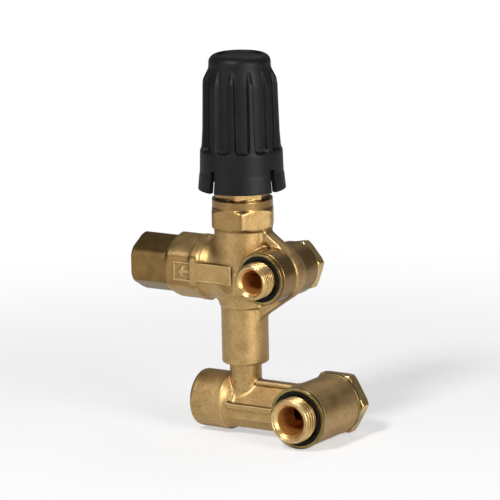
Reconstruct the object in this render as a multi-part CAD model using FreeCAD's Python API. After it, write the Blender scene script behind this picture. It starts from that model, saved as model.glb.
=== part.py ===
import FreeCAD, Part
import math
import os

from FreeCAD import Vector

# Pressure washer unloader valve, all sizes in millimetres.
# Sizes are worked out from the valve's own centre, where the upright valve axis meets the axis of
# the outlet arm: X along the arm (outlet at -X), Y along both banjo bolts (threads at -Y), Z up.
# The finished pieces are then moved so that the origin is the middle of the base of the whole valve.

# Upright valve axis: forged body
BODY_R = 13.2            # upper barrel of the body
BODY_TOP_Z = 34.7        # top of the turned ring
RING_STEP = 0.8          # the turned ring above the hexagon stands out this far
RING_H = 4.2
BODY_HEX_H = 9.9         # forged hexagon under the ring, as wide across its flats
WAIST_R = 11.5           # barrel between the arm and the telescope tube
WAIST_Z = -15.5
TUBE_R = 10.85           # telescope tube that takes the manifold's neck
TUBE_END_Z = -42.7
TUBE_EDGE = 1.2          # rounding of the tube's lower edge

# Outlet arm
ARM_END_X = -35.3        # machined end face of the arm
ARM_NECK_X = -17.5       # where the outlet block ends and the arm narrows
ARM_FLARE = 5.0          # length over which it narrows
ARM_FACE_CHAMFER = 2.1
BLOCK_CORNER = 1.2       # its corners stand this far past its flats
PLATE_X = (-18.0, 2.0)   # raised name plate, left bare
PLATE_Z = (-4.2, 4.9)
PLATE_PROUD = 0.3
FRAME_X = (-29.6, -18.4)  # raised frame around the port mark
FRAME_Z = (-4.5, 4.5)
FRAME_W = 0.8
FRAME_H = 0.45
PLATE_DEPTH = 8.0        # plate and frame reach this far back into the forging

# Pump outlet eye and its banjo bolt, G3/8
EYE_X = 18.4
EYE_Z = 0.8
EYE_BOSS_R = 12.4
EYE_HALF = 13.8          # half the eye's length, seal face to middle
WEB_R = 13.4             # outline of the web around the eye
WEB_HALF = 4.5           # half thickness of the web's rim
WEB_THIN_HALF = 2.4      # half thickness inside the rim
WEB_RIM = 3.4
WEB_TOP_Z = 21.5
WEB_LOW_Z = -21.5
UPPER_THREAD_D = 16.66
UPPER_HEX_AF = 22.0
UPPER_HEX_H = 5.5
UPPER_HEX_TURN = 10.5
UPPER_BORE_R = 5.25
UPPER_SEAL_W = 2.04      # width of its bonded seals' metal ring
UPPER_STICK_OUT = 8.2    # thread past the front seal
UPPER_CROSS_R = 3.2

# Bypass manifold, its eye and its banjo bolt, G1/2
MANIFOLD_Z = -62.0
NECK_R = 7.37
NECK_TOP_Z = -24.0
NECK_BORE_R = 5.0
SOCKET_R = 13.3
SOCKET_X = (-23.5, -6.0)
SOCKET_STEP = 3.2
SECTION_TOP = 11.3       # arm section: ridge, side, rib
SECTION_RIDGE = 2.2
SECTION_SIDE = 9.8
SECTION_SIDE_Z = 1.8
SECTION_LOW_Z = -6.0
SECTION_LOW = -11.0
SECTION_LOW_Y = 5.0
RIB_Y = 11.2
RIB_HALF = 1.35
RIB_X = (-5.0, 34.6)     # where the rib starts and ends
LOWER_EYE_X = 37.6
LOWER_EYE_R = 14.1
LOWER_EYE_HALF = 14.7
LOWER_THREAD_D = 20.955
LOWER_HEX_AF = 27.0
LOWER_HEX_H = 5.6
LOWER_HEX_TURN = 0.0
LOWER_BORE_R = 6.8
LOWER_SEAL_W = 2.2925
LOWER_STICK_OUT = 7.0
LOWER_CROSS_R = 4.0

THREAD_CHAMFER = 1.1
THREAD_RELIEF = 0.4      # each thread ends this far before its seal
SHANK_STEP = 0.3         # the shank behind it is this much smaller in radius

# Bonded seals: a metal ring with a rubber lip inside
SEAL_H = 2.0
SEAL_LIP_W = 1.45
EYE_GROOVE = 1.25        # ring channel inside each eye
EYE_GROOVE_HALF = 4.8

# Passages
PISTON_BORE_R = 7.0
PORT_R = 3.5
INLET_THREAD_R = 9.3     # female G1/2, minor radius
INLET_DEPTH = 15.5
OUTLET_THREAD_R = 7.48   # female G3/8, minor radius
OUTLET_DEPTH = 14.0
MANIFOLD_BORE_R = 6.2
BYPASS_R = 4.2

# Outlet adapter and non-return valve
ADAPTER_AF = 24.0
ADAPTER_L = 19.2
ADAPTER_CORNER_R = 13.5
SPIGOT_R = 9.7
SPIGOT_L = 12.0
CHECK_CHAMBER_R = 8.2
CHECK_SEAT_X = -16.5
CHECK_SEAT_R = 4.5
CHECK_R = 6.6
CHECK_STEM_R = 2.6
CHECK_STEM_L = 10.5
CHECK_LIFT = 3.0
CHECK_SPRING_R = 4.5
CHECK_WIRE_R = 0.5
CHECK_POCKET_R = 5.9
CHECK_POCKET_L = 7.6
CHECK_PORT_R = 3.8

# Guide nut, springs and piston
NUT_THREAD_R = 11.5
NUT_DEPTH = 12.5
NUT_HEX_AF = 22.0
NUT_HEX_H = 6.5
NUT_HEX_TURN = 45.7
GUIDE_R = 12.0           # thread that the knob climbs
GUIDE_TOP_Z = 67.5
GUIDE_BORE_R = 9.6
PLATE_GAP = 0.3          # spring plates in the guide's bore, and their bosses in the spring
PLATE_BOSS_H = 3.0
SPRING_R = 7.3           # to the middle of the wire
SPRING_WIRE_R = 1.6
SPRING_TURNS = 6.0
LOW_PLATE_Z = 23.0
LOW_PLATE_H = 3.0
SPRING_TOP_Z = 66.0
TOP_PLATE_H = 3.0
BALL_R = 2.5
BALL_SINK = 1.0          # depth of the ball's seat in the upper plate
PISTON_LIFT = 2.0
STEM_R = 3.0
SEAT_TOP_Z = -6.5
SEAT_H = 4.8
SEAT_BORE_R = 3.2

# Knob
KNOB_TURN = -11.3        # where the skirt's slots stand
KNOB_TOP_Z = 101.2
KNOB_CAP_R = 14.25
KNOB_CAP_ROUND = 4.0
KNOB_NECK_Z = 95.6
KNOB_SHOULDER = (17.2, 89.4)
KNOB_BARREL = (18.0, 66.0)
KNOB_BAND = (18.6, 57.4)
KNOB_BAND_STEP = 0.35
KNOB_SKIRT = (19.3, 46.4)
KNOB_SKIRT_END = (20.2, 38.9)
KNOB_WALL = 2.3
RECESS_R = 10.3
RECESS_DEPTH = 1.0
CAP_H = 2.6
FLUTES = 12
FLUTE_W = 6.6
FLUTE_LOW_Z = 57.4
FLUTE_FLOOR = ((14.25, 95.6), (15.7, 88.0), (16.5, 57.0))
SLOTS = 4
SLOT_W = 2.6
SLOT_TOP_Z = 49.4
INSERT_R = 13.7
INSERT_LOW_Z = 51.5
INSERT_ROOF = 3.5
PRESS_PIN_R = 5.0
PRESS_PIN_L = 5.0        # from the insert's roof down to the ball

# Clearances and ring seals
RUN = 0.08               # radial clearance of a running fit
RING_WIRE = 0.9          # wire radius of the ring seals
NECK_RINGS_Z = (-28.0, -33.5)
SEAM_TURN = 17.0         # turned solids start here, away from corners and flats

X_AXIS, Y_AXIS, Z_AXIS = Vector(1, 0, 0), Vector(0, 1, 0), Vector(0, 0, 1)
UPPER_R, LOWER_R = UPPER_THREAD_D / 2, LOWER_THREAD_D / 2
RING_R = BODY_R + RING_STEP
UPPER_SEAL_R = UPPER_R + RUN + SEAL_LIP_W + UPPER_SEAL_W
LOWER_SEAL_R = LOWER_R + RUN + SEAL_LIP_W + LOWER_SEAL_W
FLAT_R = RING_R          # half across the flats of the forged hexagon and the outlet block
BLOCK_R = FLAT_R + BLOCK_CORNER
PLATE_R = GUIDE_BORE_R - PLATE_GAP
PLATE_BOSS_R = SPRING_R - SPRING_WIRE_R - PLATE_GAP
HEX_LOW_Z = BODY_TOP_Z - RING_H - BODY_HEX_H
SPRING_LOW_Z = LOW_PLATE_Z + LOW_PLATE_H
ADAPTER_END_X = ARM_END_X - ADAPTER_L
BALL_TOP_Z = SPRING_TOP_Z + TOP_PLATE_H + 2 * BALL_R - BALL_SINK
INSERT_ROOF_Z = BALL_TOP_Z + PRESS_PIN_L

# Middle of the base, from the parts that reach furthest each way
LEFT_X = ADAPTER_END_X
RIGHT_X = LOWER_EYE_X + LOWER_HEX_AF / math.sqrt(3)
FRONT_Y = -max(EYE_HALF + SEAL_H + UPPER_STICK_OUT, LOWER_EYE_HALF + SEAL_H + LOWER_STICK_OUT)
BACK_Y = max(EYE_HALF + SEAL_H + UPPER_HEX_H, LOWER_EYE_HALF + SEAL_H + LOWER_HEX_H)
ORIGIN = Vector((LEFT_X + RIGHT_X) / 2, (FRONT_Y + BACK_Y) / 2, MANIFOLD_Z - LOWER_SEAL_R)


def rod(radius, low, high, axis=Z_AXIS, centre=Vector()):
    """A cylinder along an axis through centre, between two places on that axis."""
    return Part.makeCylinder(radius, high - low, centre + axis * low, axis)


def pipe(outer, inner, low, high, axis=Z_AXIS, centre=Vector()):
    """A round tube along an axis."""
    return rod(outer, low, high, axis, centre).cut(rod(inner, low - 1, high + 1, axis, centre))


def hexagon(across, low, high, axis=Z_AXIS, centre=Vector(), turn=0.0):
    """A hexagonal prism along an axis. turn is the angle of its first corner, in degrees."""
    radius = across / math.sqrt(3)
    place = {(0, 0, 1): lambda c, s: Vector(c, s, low), (0, 1, 0): lambda c, s: Vector(c, low, s),
             (1, 0, 0): lambda c, s: Vector(low, c, s)}[tuple(axis)]
    angles = [math.radians(turn + 60 * i) for i in range(7)]
    points = [centre + place(radius * math.cos(t), radius * math.sin(t)) for t in angles]
    return Part.Face(Part.makePolygon(points)).extrude(axis * (high - low))


def turned(points, axis=Z_AXIS, centre=Vector()):
    """A solid of revolution from (radius, place along the axis) points, its seam clear of any flats."""
    along = {(0, 0, 1): lambda r, t: Vector(r, 0, t), (0, 1, 0): lambda r, t: Vector(r, t, 0),
             (1, 0, 0): lambda r, t: Vector(t, r, 0)}[tuple(axis)]
    wire = Part.makePolygon([centre + along(*p) for p in points + points[:1]])
    solid = Part.Face(wire).revolve(centre, axis, 360)
    solid.rotate(centre, axis, SEAM_TURN)
    return solid


def ring_seal(radius, place, axis=Z_AXIS, centre=Vector(), wire=RING_WIRE):
    """A round-section ring seal, radius to the middle of its wire."""
    return Part.makeTorus(radius, wire, centre + axis * place, axis)


def coil(radius, wire_r, low, high, turns):
    """A helical spring standing on Z, with its wire's ends inside low and high."""
    rise = high - low - 2 * wire_r
    helix = Part.makeHelix(rise / turns, rise, radius)
    helix.translate(Vector(0, 0, low + wire_r))
    section = Part.Wire(Part.makeCircle(wire_r, Vector(radius, 0, low + wire_r), Y_AXIS))
    return Part.Wire(helix.Edges).makePipeShell([section], True, True)


def joined(first, *others):
    """One clean solid from several that overlap."""
    return first.multiFuse(list(others)).removeSplitter()


def rounded(shape, radius, chosen):
    """The shape with the edges that chosen picks rounded."""
    return shape.makeFillet(radius, [edge for edge in shape.Edges if chosen(edge)])


def is_ring(edge, radius, place, axis=Z_AXIS):
    """True for a full or part circle of this radius at this place along the axis."""
    curve = edge.Curve
    return (curve.TypeId == "Part::GeomCircle" and abs(curve.Radius - radius) < 0.01
            and abs(curve.Center.dot(axis) - place) < 0.01 and abs(abs(curve.Axis.dot(axis)) - 1) < 0.01)


def web_outline(inset):
    """Outline of the web in XZ: tangents from the body to an arc around the eye."""
    radius = WEB_R - inset
    eye = Vector(EYE_X, 0, EYE_Z)

    def tangent_point(start, side):
        """Where the line from start touches the arc, on the chosen side."""
        to_eye = start - eye
        angle = math.atan2(to_eye.z, to_eye.x) - side * math.acos(radius / to_eye.Length)
        return eye + Vector(math.cos(angle), 0, math.sin(angle)) * radius

    top = Vector(BODY_R - 1.0 - inset, 0, WEB_TOP_Z - inset)
    low = Vector(TUBE_R - 1.0 - inset, 0, WEB_LOW_Z + inset)
    touch_top, touch_low = tangent_point(top, 1), tangent_point(low, -1)
    far = eye + Vector(radius, 0, 0)
    return Part.Wire([Part.makeLine(Vector(0, 0, low.z), low), Part.makeLine(low, touch_low),
                      Part.Arc(touch_low, far, touch_top).toShape(), Part.makeLine(touch_top, top),
                      Part.makeLine(top, Vector(0, 0, top.z)),
                      Part.makeLine(Vector(0, 0, top.z), Vector(0, 0, low.z))])


def slab(wire, half):
    """A flat plate of this outline, from -half to half in Y."""
    face = Part.Face(wire)
    face.translate(Vector(0, -half, 0))
    return face.extrude(Vector(0, 2 * half, 0))


def make_web():
    """The web between barrel, tube and eye: thick rim, thinner field, drafted outside edge."""
    halves = []
    for side in (-1, 1):
        middle, outer = web_outline(0), web_outline(0.7)
        outer.translate(Vector(0, side * WEB_HALF, 0))
        halves.append(Part.makeLoft([middle, outer], True, True))
    field = slab(web_outline(WEB_RIM), WEB_HALF + 1).cut(slab(web_outline(0), WEB_THIN_HALF))
    return halves[0].fuse(halves[1]).cut(field)


def slab_frame(span_x, span_z, width, front, depth):
    """An upright rectangular frame whose face stands at Y = front."""
    (low_x, high_x), (low_z, high_z) = span_x, span_z
    outer = Part.makeBox(high_x - low_x, depth, high_z - low_z, Vector(low_x, front, low_z))
    inner = Part.makeBox(high_x - low_x - 2 * width, depth + 2, high_z - low_z - 2 * width,
                         Vector(low_x + width, front - 1, low_z + width))
    return outer.cut(inner)


def make_body():
    """The forged and machined valve body, in one piece."""
    eye = Vector(EYE_X, 0, EYE_Z)
    barrel = rod(BODY_R, -8, HEX_LOW_Z + 1)
    ring_z = BODY_TOP_Z - RING_H
    hex_cut = turned([(0, HEX_LOW_Z), (BODY_R + 0.2, HEX_LOW_Z), (BLOCK_R + 0.6, HEX_LOW_Z + 1.6),
                      (BLOCK_R + 0.6, ring_z - 1.2), (RING_R, ring_z), (0, ring_z)])
    top_hex = hexagon(2 * FLAT_R, HEX_LOW_Z, ring_z).common(hex_cut)
    ring = rod(RING_R, ring_z, BODY_TOP_Z)
    waist = turned([(0, WAIST_Z), (WAIST_R, WAIST_Z), (WAIST_R, WAIST_Z + 4.5), (BODY_R, -7), (BODY_R, 0),
                    (0, 0)])
    tube = rounded(rod(TUBE_R, TUBE_END_Z, WAIST_Z + 1), TUBE_EDGE, lambda e: is_ring(e, TUBE_R, TUBE_END_Z))

    block_turn = turned([(0, ARM_END_X), (BLOCK_R - ARM_FACE_CHAMFER, ARM_END_X),
                         (BLOCK_R, ARM_END_X + ARM_FACE_CHAMFER), (BLOCK_R, ARM_NECK_X), (0, ARM_NECK_X)],
                         X_AXIS)
    block = hexagon(2 * FLAT_R, ARM_END_X, ARM_NECK_X, X_AXIS, turn=30).common(block_turn)
    neck = turned([(0, ARM_NECK_X - 0.1), (FLAT_R, ARM_NECK_X - 0.1), (BODY_R - 0.2, ARM_NECK_X + ARM_FLARE),
                   (BODY_R - 1.2, 0), (0, 0)], X_AXIS)
    plate = Part.makeBox(PLATE_X[1] - PLATE_X[0], PLATE_DEPTH, PLATE_Z[1] - PLATE_Z[0],
                         Vector(PLATE_X[0], -FLAT_R - PLATE_PROUD, PLATE_Z[0]))
    frame = slab_frame(FRAME_X, FRAME_Z, FRAME_W, -FLAT_R - FRAME_H, PLATE_DEPTH)
    boss = rod(EYE_BOSS_R, -EYE_HALF, EYE_HALF, Y_AXIS, eye)
    column = joined(barrel, top_hex, ring, waist, tube)
    outside = column.multiFuse([block, neck, plate, frame, make_web(), boss])

    cuts = [
        rod(NUT_THREAD_R, BODY_TOP_Z - NUT_DEPTH, BODY_TOP_Z + 1),
        rod(PISTON_BORE_R, SEAT_TOP_Z - SEAT_H, BODY_TOP_Z),
        rod(BYPASS_R, TUBE_END_Z, 0),
        rod(NECK_R + RUN, TUBE_END_Z - 1, NECK_TOP_Z + 7),
        rod(UPPER_R + RUN, -EYE_HALF - 1, EYE_HALF + 1, Y_AXIS, eye),
        rod(UPPER_R + EYE_GROOVE, -EYE_GROOVE_HALF, EYE_GROOVE_HALF, Y_AXIS, eye),
        rod(PORT_R, 0, EYE_X - UPPER_R, X_AXIS, Vector(0, 0, EYE_Z)),
        rod(SPIGOT_R, ARM_END_X - 1, ARM_END_X + SPIGOT_L + 1, X_AXIS),
        rod(CHECK_CHAMBER_R, ARM_END_X, CHECK_SEAT_X, X_AXIS),
        rod(CHECK_SEAT_R, CHECK_SEAT_X - 1, 0, X_AXIS),
    ]
    return outside.cut(Part.makeCompound(cuts))


def banjo_bolt(radius, across, head_h, turn, bore_r, seal_r, half, stick_out, cross_r, centre):
    """A hollow bolt through an eye: thread at -Y, hexagon head at +Y, cross hole in the middle."""
    seat = half + SEAL_H
    tip = -seat - stick_out
    end, small = -seat - THREAD_RELIEF, radius - SHANK_STEP
    shank = turned([(0, tip), (radius - THREAD_CHAMFER, tip), (radius, tip + THREAD_CHAMFER), (radius, end),
                    (small, end), (small, seat), (0, seat)], Y_AXIS, centre)
    corner = across / math.sqrt(3)
    head_turn = turned([(0, seat), (corner, seat), (corner, seat + head_h - 1.2),
                        (corner - 2, seat + head_h), (0, seat + head_h)], Y_AXIS, centre)
    head = hexagon(across, seat, seat + head_h, Y_AXIS, centre, turn).common(head_turn)
    bore = turned([(0, tip - 1), (bore_r + 1.9, tip - 1), (bore_r, tip + 0.9), (bore_r, EYE_GROOVE_HALF),
                   (0, EYE_GROOVE_HALF + bore_r / 2)], Y_AXIS, centre)
    cross = rod(cross_r, -radius - 1, radius + 1, X_AXIS, centre)
    return joined(shank, head).cut(bore).cut(cross)


def bonded_seal(radius, outer, half, side, centre):
    """The metal ring and the rubber lip of one seal, on the front (-1) or rear (1) face of an eye."""
    low, high = sorted((side * half, side * (half + SEAL_H)))
    inner = radius + RUN
    split = inner + SEAL_LIP_W
    metal = pipe(outer, split, low, high, Y_AXIS, centre)
    lip = turned([(split, low), (split, high), (inner, high - 0.5), (inner, low + 0.5)], Y_AXIS, centre)
    return metal, lip


def make_manifold():
    """The forged bypass manifold: inlet socket, arm with its rib, neck and eye."""
    eye = Vector(LOWER_EYE_X, 0, MANIFOLD_Z)
    level = Vector(0, 0, MANIFOLD_Z)
    mouth, shoulder = SOCKET_X
    socket = turned([(0, mouth), (SOCKET_R - 1.4, mouth), (SOCKET_R, mouth + 1.4), (SOCKET_R, shoulder),
                     (SECTION_SIDE, shoulder + SOCKET_STEP), (0, shoulder + SOCKET_STEP)], X_AXIS, level)
    half = [(SECTION_RIDGE, SECTION_TOP), (SECTION_SIDE, SECTION_SIDE_Z), (SECTION_SIDE, SECTION_LOW_Z),
            (SECTION_LOW_Y, SECTION_LOW)]
    outline = [(y, z) for y, z in half] + [(-y, z) for y, z in reversed(half)]
    start = SOCKET_X[1] - 2
    points = [Vector(start, y, MANIFOLD_Z + z) for y, z in outline + outline[:1]]
    arm = Part.Face(Part.makePolygon(points)).extrude(Vector(LOWER_EYE_X - start, 0, 0))
    arm = rounded(arm, 1.5, lambda e: abs(e.BoundBox.XLength - (LOWER_EYE_X - start)) < 0.01)
    rib = Part.makeBox(RIB_X[1] - RIB_X[0], 2 * RIB_Y, 2 * RIB_HALF,
                       Vector(RIB_X[0], -RIB_Y, MANIFOLD_Z - RIB_HALF))
    barrel = rod(LOWER_EYE_R, -LOWER_EYE_HALF, LOWER_EYE_HALF, Y_AXIS, eye)
    neck = rod(NECK_R, MANIFOLD_Z, NECK_TOP_Z)
    outside = joined(socket, arm, rib, barrel, neck)

    grooves = [pipe(NECK_R + 1, NECK_R + RUN - 2 * RING_WIRE, z - RING_WIRE,
                    z + RING_WIRE) for z in NECK_RINGS_Z]
    cuts = grooves + [
        rod(NECK_BORE_R, MANIFOLD_Z, NECK_TOP_Z + 1),
        rod(INLET_THREAD_R, SOCKET_X[0] - 1, SOCKET_X[0] + INLET_DEPTH, X_AXIS, level),
        rod(MANIFOLD_BORE_R, SOCKET_X[0], LOWER_EYE_X - LOWER_R, X_AXIS, level),
        rod(LOWER_R + RUN, -LOWER_EYE_HALF - 1, LOWER_EYE_HALF + 1, Y_AXIS, eye),
        rod(LOWER_R + EYE_GROOVE, -EYE_GROOVE_HALF - 1, EYE_GROOVE_HALF + 1, Y_AXIS, eye),
    ]
    return outside.cut(Part.makeCompound(cuts))


def make_adapter():
    """The outlet adapter: hexagon with a female thread, spigot screwed into the arm."""
    chamfer = turned([(0, ADAPTER_END_X), (ADAPTER_AF / 2 - 0.4, ADAPTER_END_X),
                      (ADAPTER_CORNER_R, ADAPTER_END_X + 2.2), (ADAPTER_CORNER_R, ARM_END_X),
                      (0, ARM_END_X)], X_AXIS)
    head = hexagon(ADAPTER_AF, ADAPTER_END_X, ARM_END_X, X_AXIS, turn=30).common(chamfer)
    spigot = rod(SPIGOT_R, ARM_END_X, ARM_END_X + SPIGOT_L, X_AXIS)
    seal_cut = pipe(SPIGOT_R + 1, SPIGOT_R - 2 * RING_WIRE, ARM_END_X, ARM_END_X + 2 * RING_WIRE, X_AXIS)
    mouth = turned([(0, ADAPTER_END_X - 1), (OUTLET_THREAD_R + 1.9, ADAPTER_END_X - 1),
                    (OUTLET_THREAD_R, ADAPTER_END_X + 0.9), (OUTLET_THREAD_R, ADAPTER_END_X + OUTLET_DEPTH),
                    (CHECK_PORT_R, ADAPTER_END_X + OUTLET_DEPTH + 2),
                    (0, ADAPTER_END_X + OUTLET_DEPTH + 2)], X_AXIS)
    end = ARM_END_X + SPIGOT_L
    pocket = rod(CHECK_POCKET_R, end - CHECK_POCKET_L, end + 1, X_AXIS)
    port = rod(CHECK_PORT_R, ADAPTER_END_X, end, X_AXIS)
    return joined(head, spigot).cut(Part.makeCompound([seal_cut, mouth, pocket, port]))


def make_check():
    """The non-return poppet, its face seal and its spring, closed against the seat."""
    face = CHECK_SEAT_X - 0.1
    back = face - 3.0
    poppet = turned([(0, back - CHECK_STEM_L), (CHECK_STEM_R, back - CHECK_STEM_L), (CHECK_STEM_R, back),
                     (CHECK_R, back), (CHECK_R, face), (0, face)], X_AXIS)
    seal_place = face - 0.6
    seal = pipe(CHECK_R - 0.4, CHECK_SEAT_R - 1.0, seal_place, face, X_AXIS)
    low = ARM_END_X + SPIGOT_L - CHECK_POCKET_L
    spring = coil(CHECK_SPRING_R, CHECK_WIRE_R, 0, back - low, 5.0)
    spring.rotate(Vector(), Y_AXIS, 90)
    spring.translate(Vector(low, 0, 0))
    return poppet.cut(seal), seal, spring


def make_guide_nut():
    """The hexagon nut screwed into the body: spring guide inside, knob thread outside."""
    low, seat = BODY_TOP_Z - NUT_DEPTH, BODY_TOP_Z
    corner, top = NUT_HEX_AF / math.sqrt(3), seat + NUT_HEX_H
    hex_cut = turned([(0, seat), (corner, seat), (corner, top - 0.8), (NUT_HEX_AF / 2, top), (0, top)])
    nut_hex = hexagon(NUT_HEX_AF, seat, seat + NUT_HEX_H, turn=NUT_HEX_TURN).common(hex_cut)
    guide = joined(rod(NUT_THREAD_R, low, seat), nut_hex, rod(GUIDE_R - 1, seat, seat + NUT_HEX_H + 2),
                   rod(GUIDE_R, seat + NUT_HEX_H + 2, GUIDE_TOP_Z))
    return guide.cut(rod(GUIDE_BORE_R, low - 1, GUIDE_TOP_Z + 1))


def make_piston():
    """The piston: cone on the seat, stem through the chamber, sealed guide, head under the plate."""
    tip = SEAT_TOP_Z - 1.6
    guide_low, guide_high = 6.2, BODY_TOP_Z - NUT_DEPTH - 3.5
    groove = (guide_low + 3.0, guide_low + 3.0 + 2 * RING_WIRE + 1.4)
    outline = [(0, tip), (1.2, tip), (SEAT_BORE_R + 0.3, SEAT_TOP_Z + 1.2), (STEM_R, SEAT_TOP_Z + 3.2),
               (STEM_R, guide_low - 1),
               (PISTON_BORE_R - RUN, guide_low), (PISTON_BORE_R - RUN, groove[0]),
               (PISTON_BORE_R - 2 * RING_WIRE, groove[0]), (PISTON_BORE_R - 2 * RING_WIRE, groove[1]),
               (PISTON_BORE_R - RUN, groove[1]), (PISTON_BORE_R - RUN, guide_high), (4.0, guide_high + 1),
               (4.0, LOW_PLATE_Z),
               (0, LOW_PLATE_Z)]
    seal = ring_seal(PISTON_BORE_R - RING_WIRE - 0.04, groove[0] + RING_WIRE, wire=RING_WIRE - 0.04)
    backup = pipe(PISTON_BORE_R - RUN / 2, PISTON_BORE_R - 2 * RING_WIRE, groove[1] - 1.3, groove[1])
    return turned(outline), seal, backup


def make_seat():
    """The hard bypass seat and its ring seal, at the bottom of the piston's bore."""
    low = SEAT_TOP_Z - SEAT_H
    groove_z = low + SEAT_H / 2
    seat = turned([(SEAT_BORE_R, low), (PISTON_BORE_R, low), (PISTON_BORE_R, SEAT_TOP_Z),
                   (SEAT_BORE_R + 1.6, SEAT_TOP_Z),
                   (SEAT_BORE_R, SEAT_TOP_Z - 1.9)])
    groove = pipe(PISTON_BORE_R + 1, PISTON_BORE_R - 2 * RING_WIRE, groove_z - RING_WIRE,
                  groove_z + RING_WIRE)
    return seat.cut(groove), ring_seal(PISTON_BORE_R - RING_WIRE, groove_z)


def make_knob():
    """The fluted knob with its slotted skirt, the cap in its top and the threaded insert."""
    radius, top = KNOB_CAP_R, KNOB_TOP_Z
    corner = radius - KNOB_CAP_ROUND
    slope = [Vector(*p) for p in ((KNOB_SHOULDER[0], 0, KNOB_SHOULDER[1]),
                                  (KNOB_BARREL[0], 0, KNOB_BARREL[1]),
                                  (KNOB_BAND[0], 0, KNOB_BAND[1]),
                                  (KNOB_BAND[0] + KNOB_BAND_STEP, 0, KNOB_BAND[1] - 0.5),
                                  (KNOB_SKIRT[0], 0, KNOB_SKIRT[1]),
                                  (KNOB_SKIRT_END[0], 0, KNOB_SKIRT_END[1]))]
    start = Vector(0, 0, top)
    flat = Vector(corner, 0, top)
    round_end = Vector(radius, 0, top - KNOB_CAP_ROUND)
    lean = KNOB_CAP_ROUND * math.sin(math.pi / 4)
    middle = Vector(corner + lean, 0, top - KNOB_CAP_ROUND + lean)
    neck = Vector(radius, 0, KNOB_NECK_Z)
    axis_low = Vector(0, 0, KNOB_SKIRT_END[1])
    path = [neck] + slope + [axis_low, start]
    edges = [Part.makeLine(start, flat), Part.Arc(flat, middle, round_end).toShape(),
             Part.makeLine(round_end, neck)]
    edges += [Part.makeLine(a, b) for a, b in zip(path, path[1:])]
    envelope = Part.Face(Part.Wire(edges)).revolve(Vector(), Z_AXIS, 360)

    floor = turned([(0, KNOB_NECK_Z)] + list(FLUTE_FLOOR) + [(0, FLUTE_FLOOR[-1][1])])
    bottom_r = FLUTE_W * 0.35
    reach = KNOB_SKIRT_END[0]
    near = 0.6 * reach
    channel = Part.makeBox(reach, FLUTE_W, KNOB_NECK_Z - FLUTE_LOW_Z, Vector(near, -FLUTE_W / 2, FLUTE_LOW_Z))
    channel = rounded(channel, bottom_r, lambda e: abs(e.BoundBox.XLength - reach) < 0.01
                      and abs(e.BoundBox.ZMax - FLUTE_LOW_Z) < 0.01)
    flutes = []
    for i in range(FLUTES):
        flute = channel.copy()
        flute.rotate(Vector(), Z_AXIS, KNOB_TURN + 360 / FLUTES * (i + 0.5))
        flutes.append(flute)
    carved = Part.makeCompound(flutes).cut(floor)
    slots = []
    slot_low = KNOB_SKIRT_END[1] - 1
    for i in range(SLOTS):
        slot = Part.makeBox(reach, SLOT_W, SLOT_TOP_Z - slot_low, Vector(near, -SLOT_W / 2, slot_low))
        slot.rotate(Vector(), Z_AXIS, KNOB_TURN + 360 / SLOTS * i)
        slots.append(slot)

    inside = turned([(0, KNOB_SKIRT_END[1] - 1), (KNOB_SKIRT_END[0] - KNOB_WALL, KNOB_SKIRT_END[1] - 1),
                     (KNOB_SKIRT_END[0] - KNOB_WALL, KNOB_SKIRT_END[1]),
                     (KNOB_SKIRT[0] - KNOB_WALL, KNOB_SKIRT[1]),
                     (KNOB_SKIRT[0] - KNOB_WALL, INSERT_LOW_Z), (INSERT_R, INSERT_LOW_Z),
                     (INSERT_R, INSERT_ROOF_Z + INSERT_ROOF), (0, INSERT_ROOF_Z + INSERT_ROOF)])
    recess = rod(RECESS_R, KNOB_TOP_Z - RECESS_DEPTH - CAP_H, KNOB_TOP_Z + 1)
    knob = envelope.cut(carved).cut(Part.makeCompound(slots)).cut(inside).cut(recess)
    cap = rod(RECESS_R, KNOB_TOP_Z - RECESS_DEPTH - CAP_H, KNOB_TOP_Z - RECESS_DEPTH)
    insert = pipe(INSERT_R, GUIDE_R + RUN, INSERT_LOW_Z, INSERT_ROOF_Z)
    roof = rod(INSERT_R, INSERT_ROOF_Z, INSERT_ROOF_Z + INSERT_ROOF)
    pin = rod(PRESS_PIN_R, BALL_TOP_Z, INSERT_ROOF_Z)
    return knob, cap, joined(insert, roof, pin)


def make_spring_stack():
    """Both spring plates, the pressure spring and the ball that takes the knob's thrust."""
    low = joined(rod(PLATE_R, LOW_PLATE_Z, SPRING_LOW_Z),
                 rod(PLATE_BOSS_R, SPRING_LOW_Z, SPRING_LOW_Z + PLATE_BOSS_H))
    high = joined(rod(PLATE_R, SPRING_TOP_Z, SPRING_TOP_Z + TOP_PLATE_H),
                  rod(PLATE_BOSS_R, SPRING_TOP_Z - PLATE_BOSS_H, SPRING_TOP_Z))
    ball = Part.makeSphere(BALL_R, Vector(0, 0, BALL_TOP_Z - BALL_R))
    spring = coil(SPRING_R, SPRING_WIRE_R, SPRING_LOW_Z, SPRING_TOP_Z, SPRING_TURNS)
    return low, high.cut(ball), ball, spring


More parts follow.
